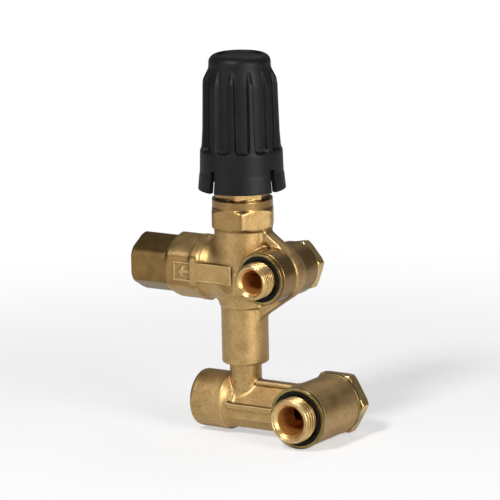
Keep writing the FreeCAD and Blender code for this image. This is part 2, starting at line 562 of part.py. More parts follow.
def make_parts():
    """Every piece of the valve by name, in the valve's own place."""
    upper_eye = Vector(EYE_X, 0, EYE_Z)
    lower_eye = Vector(LOWER_EYE_X, 0, MANIFOLD_Z)
    knob, cap, insert = make_knob()
    low_plate, top_plate, ball, spring = make_spring_stack()
    piston, piston_seal, backup = make_piston()
    seat, seat_seal = make_seat()
    poppet, poppet_seal, check_spring = make_check()
    parts = {
        "valve_body": make_body(), "guide_nut": make_guide_nut(), "bypass_seat": seat,
        "bypass_seat_ring": seat_seal,
        "knob": knob, "knob_cap": cap, "knob_insert": insert,
        "lower_spring_plate": low_plate, "upper_spring_plate": top_plate, "thrust_ball": ball,
        "pressure_spring": spring,
        "piston": piston, "piston_ring": piston_seal, "piston_backup_ring": backup,
        "outlet_adapter": make_adapter(), "check_poppet": poppet, "check_face_seal": poppet_seal,
        "check_spring": check_spring,
        "outlet_ring": ring_seal(SPIGOT_R - RING_WIRE, ARM_END_X + RING_WIRE, X_AXIS),
        "bypass_manifold": make_manifold(),
        "upper_bolt": banjo_bolt(UPPER_R, UPPER_HEX_AF, UPPER_HEX_H, UPPER_HEX_TURN, UPPER_BORE_R,
                                 UPPER_SEAL_R,
                                 EYE_HALF, UPPER_STICK_OUT, UPPER_CROSS_R, upper_eye),
        "lower_bolt": banjo_bolt(LOWER_R, LOWER_HEX_AF, LOWER_HEX_H, LOWER_HEX_TURN, LOWER_BORE_R,
                                 LOWER_SEAL_R,
                                 LOWER_EYE_HALF, LOWER_STICK_OUT, LOWER_CROSS_R, lower_eye),
    }
    for name, z in zip(("neck_ring_upper", "neck_ring_lower"), NECK_RINGS_Z):
        parts[name] = ring_seal(NECK_R + RUN - RING_WIRE, z, wire=RING_WIRE - 0.04)
    for place, radius, outer, half, centre in (("upper", UPPER_R, UPPER_SEAL_R, EYE_HALF, upper_eye),
                                               ("lower", LOWER_R, LOWER_SEAL_R, LOWER_EYE_HALF, lower_eye)):
        for face, side in (("front", -1), ("rear", 1)):
            metal, lip = bonded_seal(radius, outer, half, side, centre)
            parts[f"{place}_{face}_seal_ring"] = metal
            parts[f"{place}_{face}_seal_lip"] = lip
    return parts


os.makedirs("parts", exist_ok=True)
for node, shape in make_parts().items():
    shape.translate(-ORIGIN)
    solid = shape if shape.ShapeType == "Solid" else shape.Solids[0]
    assert shape.isValid() and len(shape.Solids) == 1, node
    solid.exportStep(f"parts/{node}.step")
    box = solid.BoundBox
    spans = ", ".join(f"{low:.1f} to {high:.1f}" for low, high in (
        (box.XMin, box.XMax), (box.YMin, box.YMax), (box.ZMin, box.ZMax)))
    print(f"{node}: {solid.Volume:.0f} mm3, {spans}")
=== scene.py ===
"""The finished look of a pressure washer unloader valve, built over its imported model.

Shapes are worked out in the valve's own frame, in millimetres: X along the outlet arm (outlet at -X), Y along
both banjo bolts (threads at -Y), Z up the valve axis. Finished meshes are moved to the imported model's frame.
"""
from __future__ import annotations

import logging
import math
from dataclasses import dataclass, field
from enum import Enum
from typing import Any, Callable

import bmesh
import bpy
import numpy as np
import openvdb
from mathutils import Matrix, Vector

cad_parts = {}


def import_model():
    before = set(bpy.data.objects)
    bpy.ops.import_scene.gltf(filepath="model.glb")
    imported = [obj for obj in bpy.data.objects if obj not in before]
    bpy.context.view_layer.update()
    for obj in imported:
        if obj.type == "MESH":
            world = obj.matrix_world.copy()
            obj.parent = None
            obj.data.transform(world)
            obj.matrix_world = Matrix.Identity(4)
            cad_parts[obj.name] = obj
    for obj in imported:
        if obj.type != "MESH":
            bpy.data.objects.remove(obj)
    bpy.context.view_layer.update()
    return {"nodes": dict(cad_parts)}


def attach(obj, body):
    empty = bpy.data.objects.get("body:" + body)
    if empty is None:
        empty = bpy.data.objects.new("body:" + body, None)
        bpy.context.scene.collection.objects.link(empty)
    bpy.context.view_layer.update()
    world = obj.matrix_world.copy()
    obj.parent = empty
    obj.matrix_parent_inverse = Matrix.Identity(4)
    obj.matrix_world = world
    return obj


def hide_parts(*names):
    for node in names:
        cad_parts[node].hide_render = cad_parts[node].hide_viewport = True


log = logging.getLogger("unloader_valve")

ORIGIN = np.array([-0.65577, -0.85, -76.3])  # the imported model's origin, in the valve's frame

Form = Callable[[np.ndarray], np.ndarray]  # signed distance in mm at (n, 3) points, negative inside
Mesh = tuple[np.ndarray, list[np.ndarray]]  # vertices in mm, and arrays of faces with 3 or 4 corners


class Axis(Enum):
    """The direction that a turned or hexagonal form runs along."""

    X = 0
    Y = 1
    Z = 2


class ThreadSide(Enum):
    """Whether a thread's ridges stand out from a shank or in from the wall of a bore."""

    MALE = 1.0
    FEMALE = -1.0


# Distance forms


def rod(radius: float, low: float, high: float, axis: Axis = Axis.Z, centre: tuple = (0, 0, 0),
        edge: float = 0.0) -> Form:
    """A round bar.

    Args:
        radius: Its radius.
        low: Where it starts along its axis, measured from centre.
        high: Where it ends.
        axis: Its direction.
        centre: A point on its axis.
        edge: Rounding of both ends.

    Returns:
        The form.
    """
    def distance(p: np.ndarray) -> np.ndarray:
        """Distance to the bar.

        Args:
            p: The points, in millimetres.

        Returns:
            The signed distances.
        """
        t, r = along_and_out(p, axis, centre)
        across = r - radius + edge
        ends = np.abs(t - (low + high) / 2) - (high - low) / 2 + edge
        return np.minimum(np.maximum(across, ends), 0) + np.hypot(np.maximum(across, 0),
                                                                  np.maximum(ends, 0)) - edge
    return distance


def along_and_out(p: np.ndarray, axis: Axis, centre: tuple) -> tuple[np.ndarray, np.ndarray]:
    """Place along an axis through centre, and distance from it, of each point.

    Args:
        p: The points, in millimetres.
        axis: The axis's direction.
        centre: A point on the axis.

    Returns:
        The place along the axis and the distance from it.
    """
    q = [p[:, i] - centre[i] for i in range(3)]
    a = axis.value
    return q[a], np.hypot(q[(a + 1) % 3], q[(a + 2) % 3])


def outline(x: np.ndarray, y: np.ndarray, corners: list[tuple[float, float]]) -> np.ndarray:
    """Signed distance of flat points to a closed outline.

    Args:
        x: First coordinate of each point.
        y: Second coordinate.
        corners: The outline's corners in order, either way round.

    Returns:
        The distance of each point, negative inside.
    """
    best = np.full(x.shape, np.inf)
    inside = np.zeros(x.shape, bool)
    for (ax, ay), (bx, by) in zip(corners, corners[1:] + corners[:1]):
        ex, ey = bx - ax, by - ay
        wx, wy = x - ax, y - ay
        t = np.clip((wx * ex + wy * ey) / (ex * ex + ey * ey), 0, 1)
        best = np.minimum(best, (wx - ex * t) ** 2 + (wy - ey * t) ** 2)
        if ay != by:
            inside ^= ((y >= ay) != (y >= by)) & (wx < ex * wy / ey)
    return np.where(inside, -1, 1) * np.sqrt(best)


def turned(corners: list[tuple[float, float]], axis: Axis = Axis.Z, centre: tuple = (0, 0, 0)) -> Form:
    """A form turned about an axis from (radius, place along) corners. A corner on the axis has radius 0.

    Args:
        corners: The outline's corners in order.
        axis: The axis's direction.
        centre: A point on the axis.

    Returns:
        The form.
    """
    flat = [(r if r > 0 else -20.0, t) for r, t in corners]

    def distance(p: np.ndarray) -> np.ndarray:
        """Distance to the turned form."""
        t, r = along_and_out(p, axis, centre)
        return outline(r, t, flat)
    return distance


def hexagon(across: float, axis: Axis, centre: tuple = (0, 0, 0), turn: float = 0.0,
            edge: float = 0.4) -> Form:
    """An endless hexagonal bar.

    Args:
        across: Width over its flats.
        axis: Its direction.
        centre: A point on its axis.
        turn: Angle of its first corner in degrees, from +X (on X, from +Y).
        edge: Rounding of its corners.

    Returns:
        The form.
    """
    first, second = {Axis.Z: (0, 1), Axis.Y: (0, 2), Axis.X: (1, 2)}[axis]

    def distance(p: np.ndarray) -> np.ndarray:
        """Distance to the bar.

        Args:
            p: The points, in millimetres.

        Returns:
            The signed distances.
        """
        c, s = p[:, first] - centre[first], p[:, second] - centre[second]
        found = None
        for i in range(6):
            angle = math.radians(turn + 30 + 60 * i)
            side = c * math.cos(angle) + s * math.sin(angle) - across / 2
            found = side if found is None else bulge(found, side, edge)
        return found
    return distance


def between(low: float, high: float, axis: Axis) -> Form:
    """Everything between two planes."""
    return lambda p: np.abs(p[:, axis.value] - (low + high) / 2) - (high - low) / 2


def block(low: tuple, high: tuple, edge: float = 0.0) -> Form:
    """A box between two corners, with rounded edges.

    Args:
        low: Its lowest corner.
        high: Its highest corner.
        edge: Rounding of its edges.

    Returns:
        The form.
    """
    middle = [(a + b) / 2 for a, b in zip(low, high)]
    half = [(b - a) / 2 - edge for a, b in zip(low, high)]

    def distance(p: np.ndarray) -> np.ndarray:
        """Distance to the box.

        Args:
            p: The points, in millimetres.

        Returns:
            The signed distances.
        """
        q = [np.abs(p[:, i] - middle[i]) - half[i] for i in range(3)]
        outer = np.sqrt(sum(np.maximum(v, 0) ** 2 for v in q))
        return outer + np.minimum(np.maximum(np.maximum(q[0], q[1]), q[2]), 0) - edge
    return distance


def melt(a: np.ndarray, b: np.ndarray, width: float) -> np.ndarray:
    """The smaller of two distances, with a fillet of about this width where they meet.

    Args:
        a: The first distance.
        b: The second distance.
        width: Width of the rounding.

    Returns:
        The distances of the joined form.
    """
    if width <= 0:
        return np.minimum(a, b)
    h = np.maximum(width - np.abs(a - b), 0) / width
    return np.minimum(a, b) - h * h * width / 4


def bulge(a: np.ndarray, b: np.ndarray, width: float) -> np.ndarray:
    """The larger of two distances, with a rounded edge of about this width where they meet."""
    return -melt(-a, -b, width)


def joined(width: float, *forms: Form) -> Form:
    """Several forms as one, with fillets of this width.

    Args:
        width: Width of the rounding.
        forms: The forms.

    Returns:
        The form.
    """
    def distance(p: np.ndarray) -> np.ndarray:
        """Distance to the joined form.

        Args:
            p: The points, in millimetres.

        Returns:
            The signed distances.
        """
        found = forms[0](p)
        for form in forms[1:]:
            found = melt(found, form(p), width)
        return found
    return distance


def shared(width: float, *forms: Form) -> Form:
    """What several forms have in common, with edges rounded by this width.

    Args:
        width: Width of the rounding.
        forms: The forms.

    Returns:
        The form.
    """
    def distance(p: np.ndarray) -> np.ndarray:
        """Distance to the common part.

        Args:
            p: The points, in millimetres.

        Returns:
            The signed distances.
        """
        found = forms[0](p)
        for form in forms[1:]:
            found = bulge(found, form(p), width)
        return found
    return distance


def carved(form: Form, width: float, *tools: Form) -> Form:
    """A form with others cut out of it, the new edges rounded by this width.

    Args:
        form: The form.
        width: Width of the rounding.
        tools: The forms to take away.

    Returns:
        The form.
    """
    def distance(p: np.ndarray) -> np.ndarray:
        """Distance to what is left.

        Args:
            p: The points, in millimetres.

        Returns:
            The signed distances.
        """
        found = form(p)
        for tool in tools:
            found = bulge(found, -tool(p), width)
        return found
    return distance


def slope(form: Form, p: np.ndarray, step: float) -> np.ndarray:
    """The form's outward direction at each point, from differences over a step.

    Args:
        form: The form.
        p: The points, in millimetres.
        step: The step in millimetres.

    Returns:
        Unit directions, one for each point.
    """
    out = np.empty_like(p)
    for i in range(3):
        shift = np.zeros(3)
        shift[i] = step
        out[:, i] = form(p + shift) - form(p - shift)
    return out / (2 * step)


def skin(form: Form, low: tuple, high: tuple, cell: float, adaptivity: float = 0.0) -> Mesh:
    """Meshes a form's surface.

    Args:
        form: The form.
        low: Lowest corner of the space that holds it.
        high: Highest corner.
        cell: Spacing of the grid that it is sampled on.
        adaptivity: How far flat regions may be merged, from 0 to 1.

    Returns:
        Its vertices, settled onto the exact surface, and its triangles and quads.
    """
    axes = [np.arange(a - 3 * cell, b + 3.5 * cell, cell) for a, b in zip(low, high)]
    values = np.empty([len(a) for a in axes], np.float32)
    upright = np.stack(np.meshgrid(axes[1], axes[2], indexing="ij"), -1).reshape(-1, 2)
    for i, x in enumerate(axes[0]):
        values[i] = form(np.column_stack([np.full(len(upright), x), upright])).reshape(values.shape[1:])
    reach = 4 * cell
    grid = openvdb.FloatGrid(reach)
    grid.copyFromArray(np.clip(values, -reach, reach))
    points, triangles, quads = grid.convertToPolygons(isovalue=0.0, adaptivity=adaptivity)
    points = np.array([a[0] for a in axes]) + np.asarray(points, float) * cell
    for _ in range(2):
        d, g = form(points), slope(form, points, 0.1 * cell)
        move = d / np.maximum((g * g).sum(1), 0.3)
        points = points - g * np.clip(move, -0.6 * cell, 0.6 * cell)[:, None]
    faces = [np.asarray(f, int) for f in (triangles, quads) if len(f)]
    corner = points[faces[-1]]
    facing = np.cross(corner[:, 1] - corner[:, 0], corner[:, 2] - corner[:, 0])
    if (facing * slope(form, corner.mean(1), 0.1 * cell)).sum() < 0:
        faces = [f[:, ::-1] for f in faces]
    return points, faces


# Meshes


def lathe(corners: list[tuple[float, float]], axis: Axis, centre: tuple, columns: int = 180) -> Mesh:
    """A closed ring turned from a closed outline of (radius, place along) corners, none of them on the axis.

    Args:
        corners: The outline.
        axis: The axis that it turns about.
        centre: A point on the axis.
        columns: Steps round the axis.

    Returns:
        The ring.
    """
    angles = 2 * math.pi * np.arange(columns) / columns
    rows = len(corners)
    a = axis.value
    points = np.empty((columns, rows, 3))
    for j, (radius, place) in enumerate(corners):
        points[:, j, a] = centre[a] + place
        points[:, j, (a + 1) % 3] = centre[(a + 1) % 3] + radius * np.cos(angles)
        points[:, j, (a + 2) % 3] = centre[(a + 2) % 3] + radius * np.sin(angles)
    i, j = np.meshgrid(np.arange(columns), np.arange(rows), indexing="ij")
    i, j = i.ravel(), j.ravel()
    i2, j2 = (i + 1) % columns, (j + 1) % rows
    quads = np.column_stack([i * rows + j, i2 * rows + j, i2 * rows + j2, i * rows + j2])
    if sum((r1 - r0) * (t1 + t0) for (r0, t0), (r1, t1) in zip(corners, corners[1:] + corners[:1])) > 0:
        quads = quads[:, ::-1]
    return points.reshape(-1, 3), [quads]


def softened(corners: list[tuple[float, float]], radius: float, steps: int = 4) -> list[tuple[float, float]]:
    """A closed outline with each corner rounded.

    Args:
        corners: The outline's corners in order.
        radius: Radius of the rounding.
        steps: How many steps each corner gets.

    Returns:
        The rounded outline.
    """
    out: list[tuple[float, float]] = []
    for before, here, after in zip(corners[-1:] + corners[:-1], corners, corners[1:] + corners[:1]):
        b, h, a = (np.array(v, float) for v in (before, here, after))
        into, away = b - h, a - h
        reach = min(radius, np.linalg.norm(into) * 0.45, np.linalg.norm(away) * 0.45)
        start, end = h + into / np.linalg.norm(into) * reach, h + away / np.linalg.norm(away) * reach
        for k in range(steps + 1):
            t = k / steps
            out.append(tuple((1 - t) ** 2 * start + 2 * t * (1 - t) * h + t * t * end))
    return out


def together(*meshes: Mesh) -> Mesh:
    """Several meshes as one.

    Args:
        meshes: The meshes.

    Returns:
        The one mesh.
    """
    points, faces, start = [], [], 0
    for verts, groups in meshes:
        faces += [g + start for g in groups]
        points.append(verts)
        start += len(verts)
    return np.vstack(points), faces


def make_object(name: str, mesh: Mesh, normals: np.ndarray | None = None) -> bpy.types.Object:
    """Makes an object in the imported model's frame.

    Args:
        name: The object's name.
        mesh: Its vertices in the valve's frame, and its faces.
        normals: One direction for each vertex, or None to work them out from the faces.

    Returns:
        The object, at the origin, with its place in its mesh.
    """
    points, groups = mesh
    data = bpy.data.meshes.new(name)
    data.vertices.add(len(points))
    data.vertices.foreach_set("co", ((points - ORIGIN) * 1e-3).astype(np.float32).ravel())
    corners = np.concatenate([g.ravel() for g in groups]).astype(np.int32)
    sizes = np.concatenate([np.full(len(g), g.shape[1]) for g in groups])
    data.loops.add(len(corners))
    data.loops.foreach_set("vertex_index", corners)
    data.polygons.add(len(sizes))
    data.polygons.foreach_set("loop_start", np.concatenate([[0], np.cumsum(sizes)[:-1]]).astype(np.int32))
    data.polygons.foreach_set("use_smooth", np.ones(len(sizes), bool))
    data.update(calc_edges=True)
    data.validate()
    if normals is not None:
        data.normals_split_custom_set_from_vertices(normals.tolist())
    made = bpy.data.objects.new(name, data)
    bpy.context.scene.collection.objects.link(made)
    return made


def form_object(name: str, form: Form, low: tuple, high: tuple, cell: float, adaptivity: float,
                extra: Mesh | None = None) -> bpy.types.Object:
    """Makes an object from a distance form, shaded by the form's own directions.

    Args:
        name: The object's name.
        form: The form.
        low: Lowest corner of the space that holds it.
        high: Highest corner.
        cell: Spacing of the sampling grid.
        adaptivity: How far flat regions may be merged.
        extra: A mesh joined to it, such as its threads.

    Returns:
        The object.
    """
    points, faces = skin(form, low, high, cell, adaptivity)
    normals = slope(form, points, 0.7 * cell)
    normals /= np.maximum(np.linalg.norm(normals, axis=1), 1e-6)[:, None]
    if extra is None:
        return make_object(name, (points, faces), normals)
    return make_object(name, together((points, faces), extra), np.vstack([normals, vertex_normals(extra)]))


def vertex_normals(mesh: Mesh) -> np.ndarray:
    """The average direction of the faces round each vertex.

    Args:
        mesh: The mesh.

    Returns:
        Unit directions, one for each vertex.
    """
    points, groups = mesh
    out = np.zeros_like(points)
    for faces in groups:
        corner = points[faces]
        last = faces.shape[1] - 1
        facing = np.cross(corner[:, 1] - corner[:, 0], corner[:, last] - corner[:, 0])
        facing += np.cross(corner[:, last] - corner[:, last - 1],
                           corner[:, 1] - corner[:, 2 if last > 2 else 1]) if last > 2 else 0
        for k in range(faces.shape[1]):
            np.add.at(out, faces[:, k], facing)
    return out / np.maximum(np.linalg.norm(out, axis=1), 1e-12)[:, None]


# Nodes


def add(tree: bpy.types.NodeTree, kind: str, links: dict[int | str, Any] | None = None,
        **settings: Any) -> bpy.types.Node:
    """Adds one node to a tree.

    Args:
        tree: The tree.
        kind: The node's type name.
        links: For each input, by name or number, a socket to link to it or a value to set on it.
        settings: Attributes set on the node first.

    Returns:
        The node.
    """
    node = tree.nodes.new(kind)
    for key, value in settings.items():
        setattr(node, key, value)
    for key, value in (links or {}).items():
        if isinstance(value, bpy.types.NodeSocket):
            tree.links.new(value, node.inputs[key])
        else:
            node.inputs[key].default_value = value
    return node


def start_tree(name: str, inputs: dict[str, float]) -> tuple[bpy.types.NodeTree, bpy.types.Node,
                                                             dict[str, str]]:
    """Starts a Geometry Nodes tree with a geometry input, named number inputs and a material input.

    Args:
        name: The tree's name.
        inputs: The name and starting value of each number.

    Returns:
        The tree, its input node, and the identifier of each input by name.
    """
    tree = bpy.data.node_groups.new(name, "GeometryNodeTree")
    tree.interface.new_socket("Geometry", in_out="INPUT", socket_type="NodeSocketGeometry")
    ids = {}
    for key, value in inputs.items():
        socket = tree.interface.new_socket(key, in_out="INPUT", socket_type="NodeSocketFloat")
        socket.default_value = value
        ids[key] = socket.identifier
    ids["Material"] = tree.interface.new_socket("Material", in_out="INPUT",
                                                socket_type="NodeSocketMaterial").identifier
    tree.interface.new_socket("Geometry", in_out="OUTPUT", socket_type="NodeSocketGeometry")
    return tree, add(tree, "NodeGroupInput"), ids


def end_tree(tree: bpy.types.NodeTree, given: bpy.types.Node, geometry: bpy.types.NodeSocket) -> None:
    """Ends a Geometry Nodes tree in Realize Instances and Set Material.

    Args:
        tree: The node tree.
        given: The tree's input node.
        geometry: The geometry to end with.
    """
    real = add(tree, "GeometryNodeRealizeInstances", {"Geometry": geometry})
    dressed = add(tree, "GeometryNodeSetMaterial",
                  {"Geometry": real.outputs[0], "Material": given.outputs["Material"]})
    add(tree, "NodeGroupOutput", {"Geometry": dressed.outputs[0]})


def grown(base: bpy.types.Object, tree: bpy.types.NodeTree, ids: dict[str, str],
          values: dict[str, Any]) -> Mesh:
    """Runs a Geometry Nodes tree on an object and takes the result as a plain mesh.

    Args:
        base: The object that carries the tree, removed afterwards.
        tree: The tree.
        ids: The identifier of each input by name.
        values: A value for each named input.

    Returns:
        The mesh, in the base object's own units.
    """
    modifier = base.modifiers.new("grow", "NODES")
    modifier.node_group = tree
    for key, value in values.items():
        modifier[ids[key]] = value
    graph = bpy.context.evaluated_depsgraph_get()
    data = bpy.data.meshes.new_from_object(base.evaluated_get(graph))
    points = np.empty(len(data.vertices) * 3, np.float32)
    data.vertices.foreach_get("co", points)
    by_size: dict[int, list] = {}
    for polygon in data.polygons:
        by_size.setdefault(len(polygon.vertices), []).append(tuple(polygon.vertices))
    base.modifiers.remove(modifier)
    old = base.data
    bpy.data.objects.remove(base)
    bpy.data.meshes.remove(old)
    bpy.data.meshes.remove(data)
    return points.reshape(-1, 3).astype(float), [np.array(f) for f in by_size.values()]


# Geometry Nodes trees


def thread_tree() -> tuple[bpy.types.NodeTree, dict[str, str]]:
    """A screw thread as a closed sleeve round +Z, its first turn cut back by a chamfer at Low.

    Returns:
        The tree and the identifiers of its inputs.
    """
    tree, given, ids = start_tree("screw_thread",
                                  {"Radius": 8.0, "Depth": 0.8, "Pitch": 1.3, "Low": 0.0, "High": 8.0,
                                                   "Chamfer": 1.0, "Side": 1.0, "Columns": 180.0,
                                   "Rows": 80.0})
    size = given.outputs
    grid = add(tree, "GeometryNodeMeshGrid", {"Size X": 1.0, "Size Y": 1.0, "Vertices X": size["Columns"],
                                              "Vertices Y": size["Rows"]})
    place = add(tree, "ShaderNodeSeparateXYZ", {0: add(tree, "GeometryNodeInputPosition").outputs[0]})
    turn = add(tree, "ShaderNodeMath", {0: place.outputs["X"], 1: 0.5}, operation="ADD").outputs[0]
    share = add(tree, "ShaderNodeMath", {0: place.outputs["Y"], 1: 0.5}, operation="ADD").outputs[0]
    last = add(tree, "ShaderNodeMath", {0: size["Rows"], 1: 1.0}, operation="SUBTRACT").outputs[0]
    row = add(tree, "ShaderNodeMath", {0: share, 1: last}, operation="MULTIPLY").outputs[0]
    high_row = add(tree, "ShaderNodeMath", {0: last, 1: 2.0}, operation="SUBTRACT").outputs[0]
    rising = add(tree, "ShaderNodeMapRange", {"Value": row, "From Min": 1.0, "From Max": high_row,
                                              "To Min": size["Low"], "To Max": size["High"]},
                 clamp=True).outputs[0]
    closing = add(tree, "ShaderNodeMath", {0: last, 1: 0.5}, operation="SUBTRACT").outputs[0]
    is_closing = add(tree, "ShaderNodeMath", {0: row, 1: closing}, operation="GREATER_THAN").outputs[0]
    along = add(tree, "ShaderNodeMix", {0: is_closing, 2: rising, 3: size["Low"]},
                data_type="FLOAT").outputs[0]

    turns = add(tree, "ShaderNodeMath", {0: along, 1: size["Pitch"]}, operation="DIVIDE").outputs[0]
    phase = add(tree, "ShaderNodeMath", {0: turns, 1: turn}, operation="SUBTRACT").outputs[0]
    wave = add(tree, "ShaderNodeMath", {0: phase, 1: 0.5}, operation="PINGPONG").outputs[0]
    groove = add(tree, "ShaderNodeMapRange", {"Value": wave, "From Min": 0.13, "From Max": 0.47,
                                              "To Min": 0.0,
                                              "To Max": size["Depth"]},
                 interpolation_type="SMOOTHSTEP").outputs[0]
    crest = add(tree, "ShaderNodeMath", {0: size["Radius"], 1: size["Side"]}, operation="MULTIPLY").outputs[0]
    ridge = add(tree, "ShaderNodeMath", {0: crest, 1: groove}, operation="SUBTRACT").outputs[0]
    from_end = add(tree, "ShaderNodeMath", {0: along, 1: size["Low"]}, operation="SUBTRACT").outputs[0]
    cone = add(tree, "ShaderNodeMath", {0: crest, 1: size["Chamfer"]}, operation="SUBTRACT").outputs[0]
    cone = add(tree, "ShaderNodeMath", {0: cone, 1: from_end}, operation="ADD").outputs[0]
    outer = add(tree, "ShaderNodeMath", {0: ridge, 1: cone, 2: 0.25}, operation="SMOOTH_MIN").outputs[0]

    buried = add(tree, "ShaderNodeMath", {0: size["Depth"], 1: 0.6}, operation="ADD").outputs[0]
    buried = add(tree, "ShaderNodeMath", {0: crest, 1: buried}, operation="SUBTRACT").outputs[0]
    from_middle = add(tree, "ShaderNodeMath", {0: row,
                                               1: add(tree, "ShaderNodeMath", {0: last, 1: 2.0},
                                                      operation="DIVIDE").outputs[0]},
                      operation="SUBTRACT").outputs[0]
    # rows 0, last - 1 and last lie inside the metal; row 0 and the last one meet
    first_row = add(tree, "ShaderNodeMath", {0: row, 1: 0.5}, operation="LESS_THAN").outputs[0]
    end_rows = add(tree, "ShaderNodeMath", {0: row,
                                            1: add(tree, "ShaderNodeMath", {0: last, 1: 1.5},
                                                   operation="SUBTRACT").outputs[0]},
                   operation="GREATER_THAN").outputs[0]
    hidden = add(tree, "ShaderNodeMath", {0: first_row, 1: end_rows}, operation="MAXIMUM").outputs[0]
    radius = add(tree, "ShaderNodeMix", {0: hidden, 2: outer, 3: buried}, data_type="FLOAT").outputs[0]
    radius = add(tree, "ShaderNodeMath", {0: radius, 1: size["Side"]}, operation="MULTIPLY").outputs[0]

    angle = add(tree, "ShaderNodeMath", {0: turn, 1: 2 * math.pi}, operation="MULTIPLY").outputs[0]
    cosine = add(tree, "ShaderNodeMath", {0: angle}, operation="COSINE").outputs[0]
    sine = add(tree, "ShaderNodeMath", {0: angle}, operation="SINE").outputs[0]
    x = add(tree, "ShaderNodeMath", {0: cosine, 1: radius}, operation="MULTIPLY").outputs[0]
    y = add(tree, "ShaderNodeMath", {0: sine, 1: radius}, operation="MULTIPLY").outputs[0]
    spot = add(tree, "ShaderNodeCombineXYZ", {0: x, 1: y, 2: along}).outputs[0]
    moved = add(tree, "GeometryNodeSetPosition", {"Geometry": grid.outputs["Mesh"], "Position": spot})
    closed = add(tree, "GeometryNodeMergeByDistance", {"Geometry": moved.outputs[0], "Distance": 0.0005})
    end_tree(tree, given, closed.outputs[0])
    return tree, ids


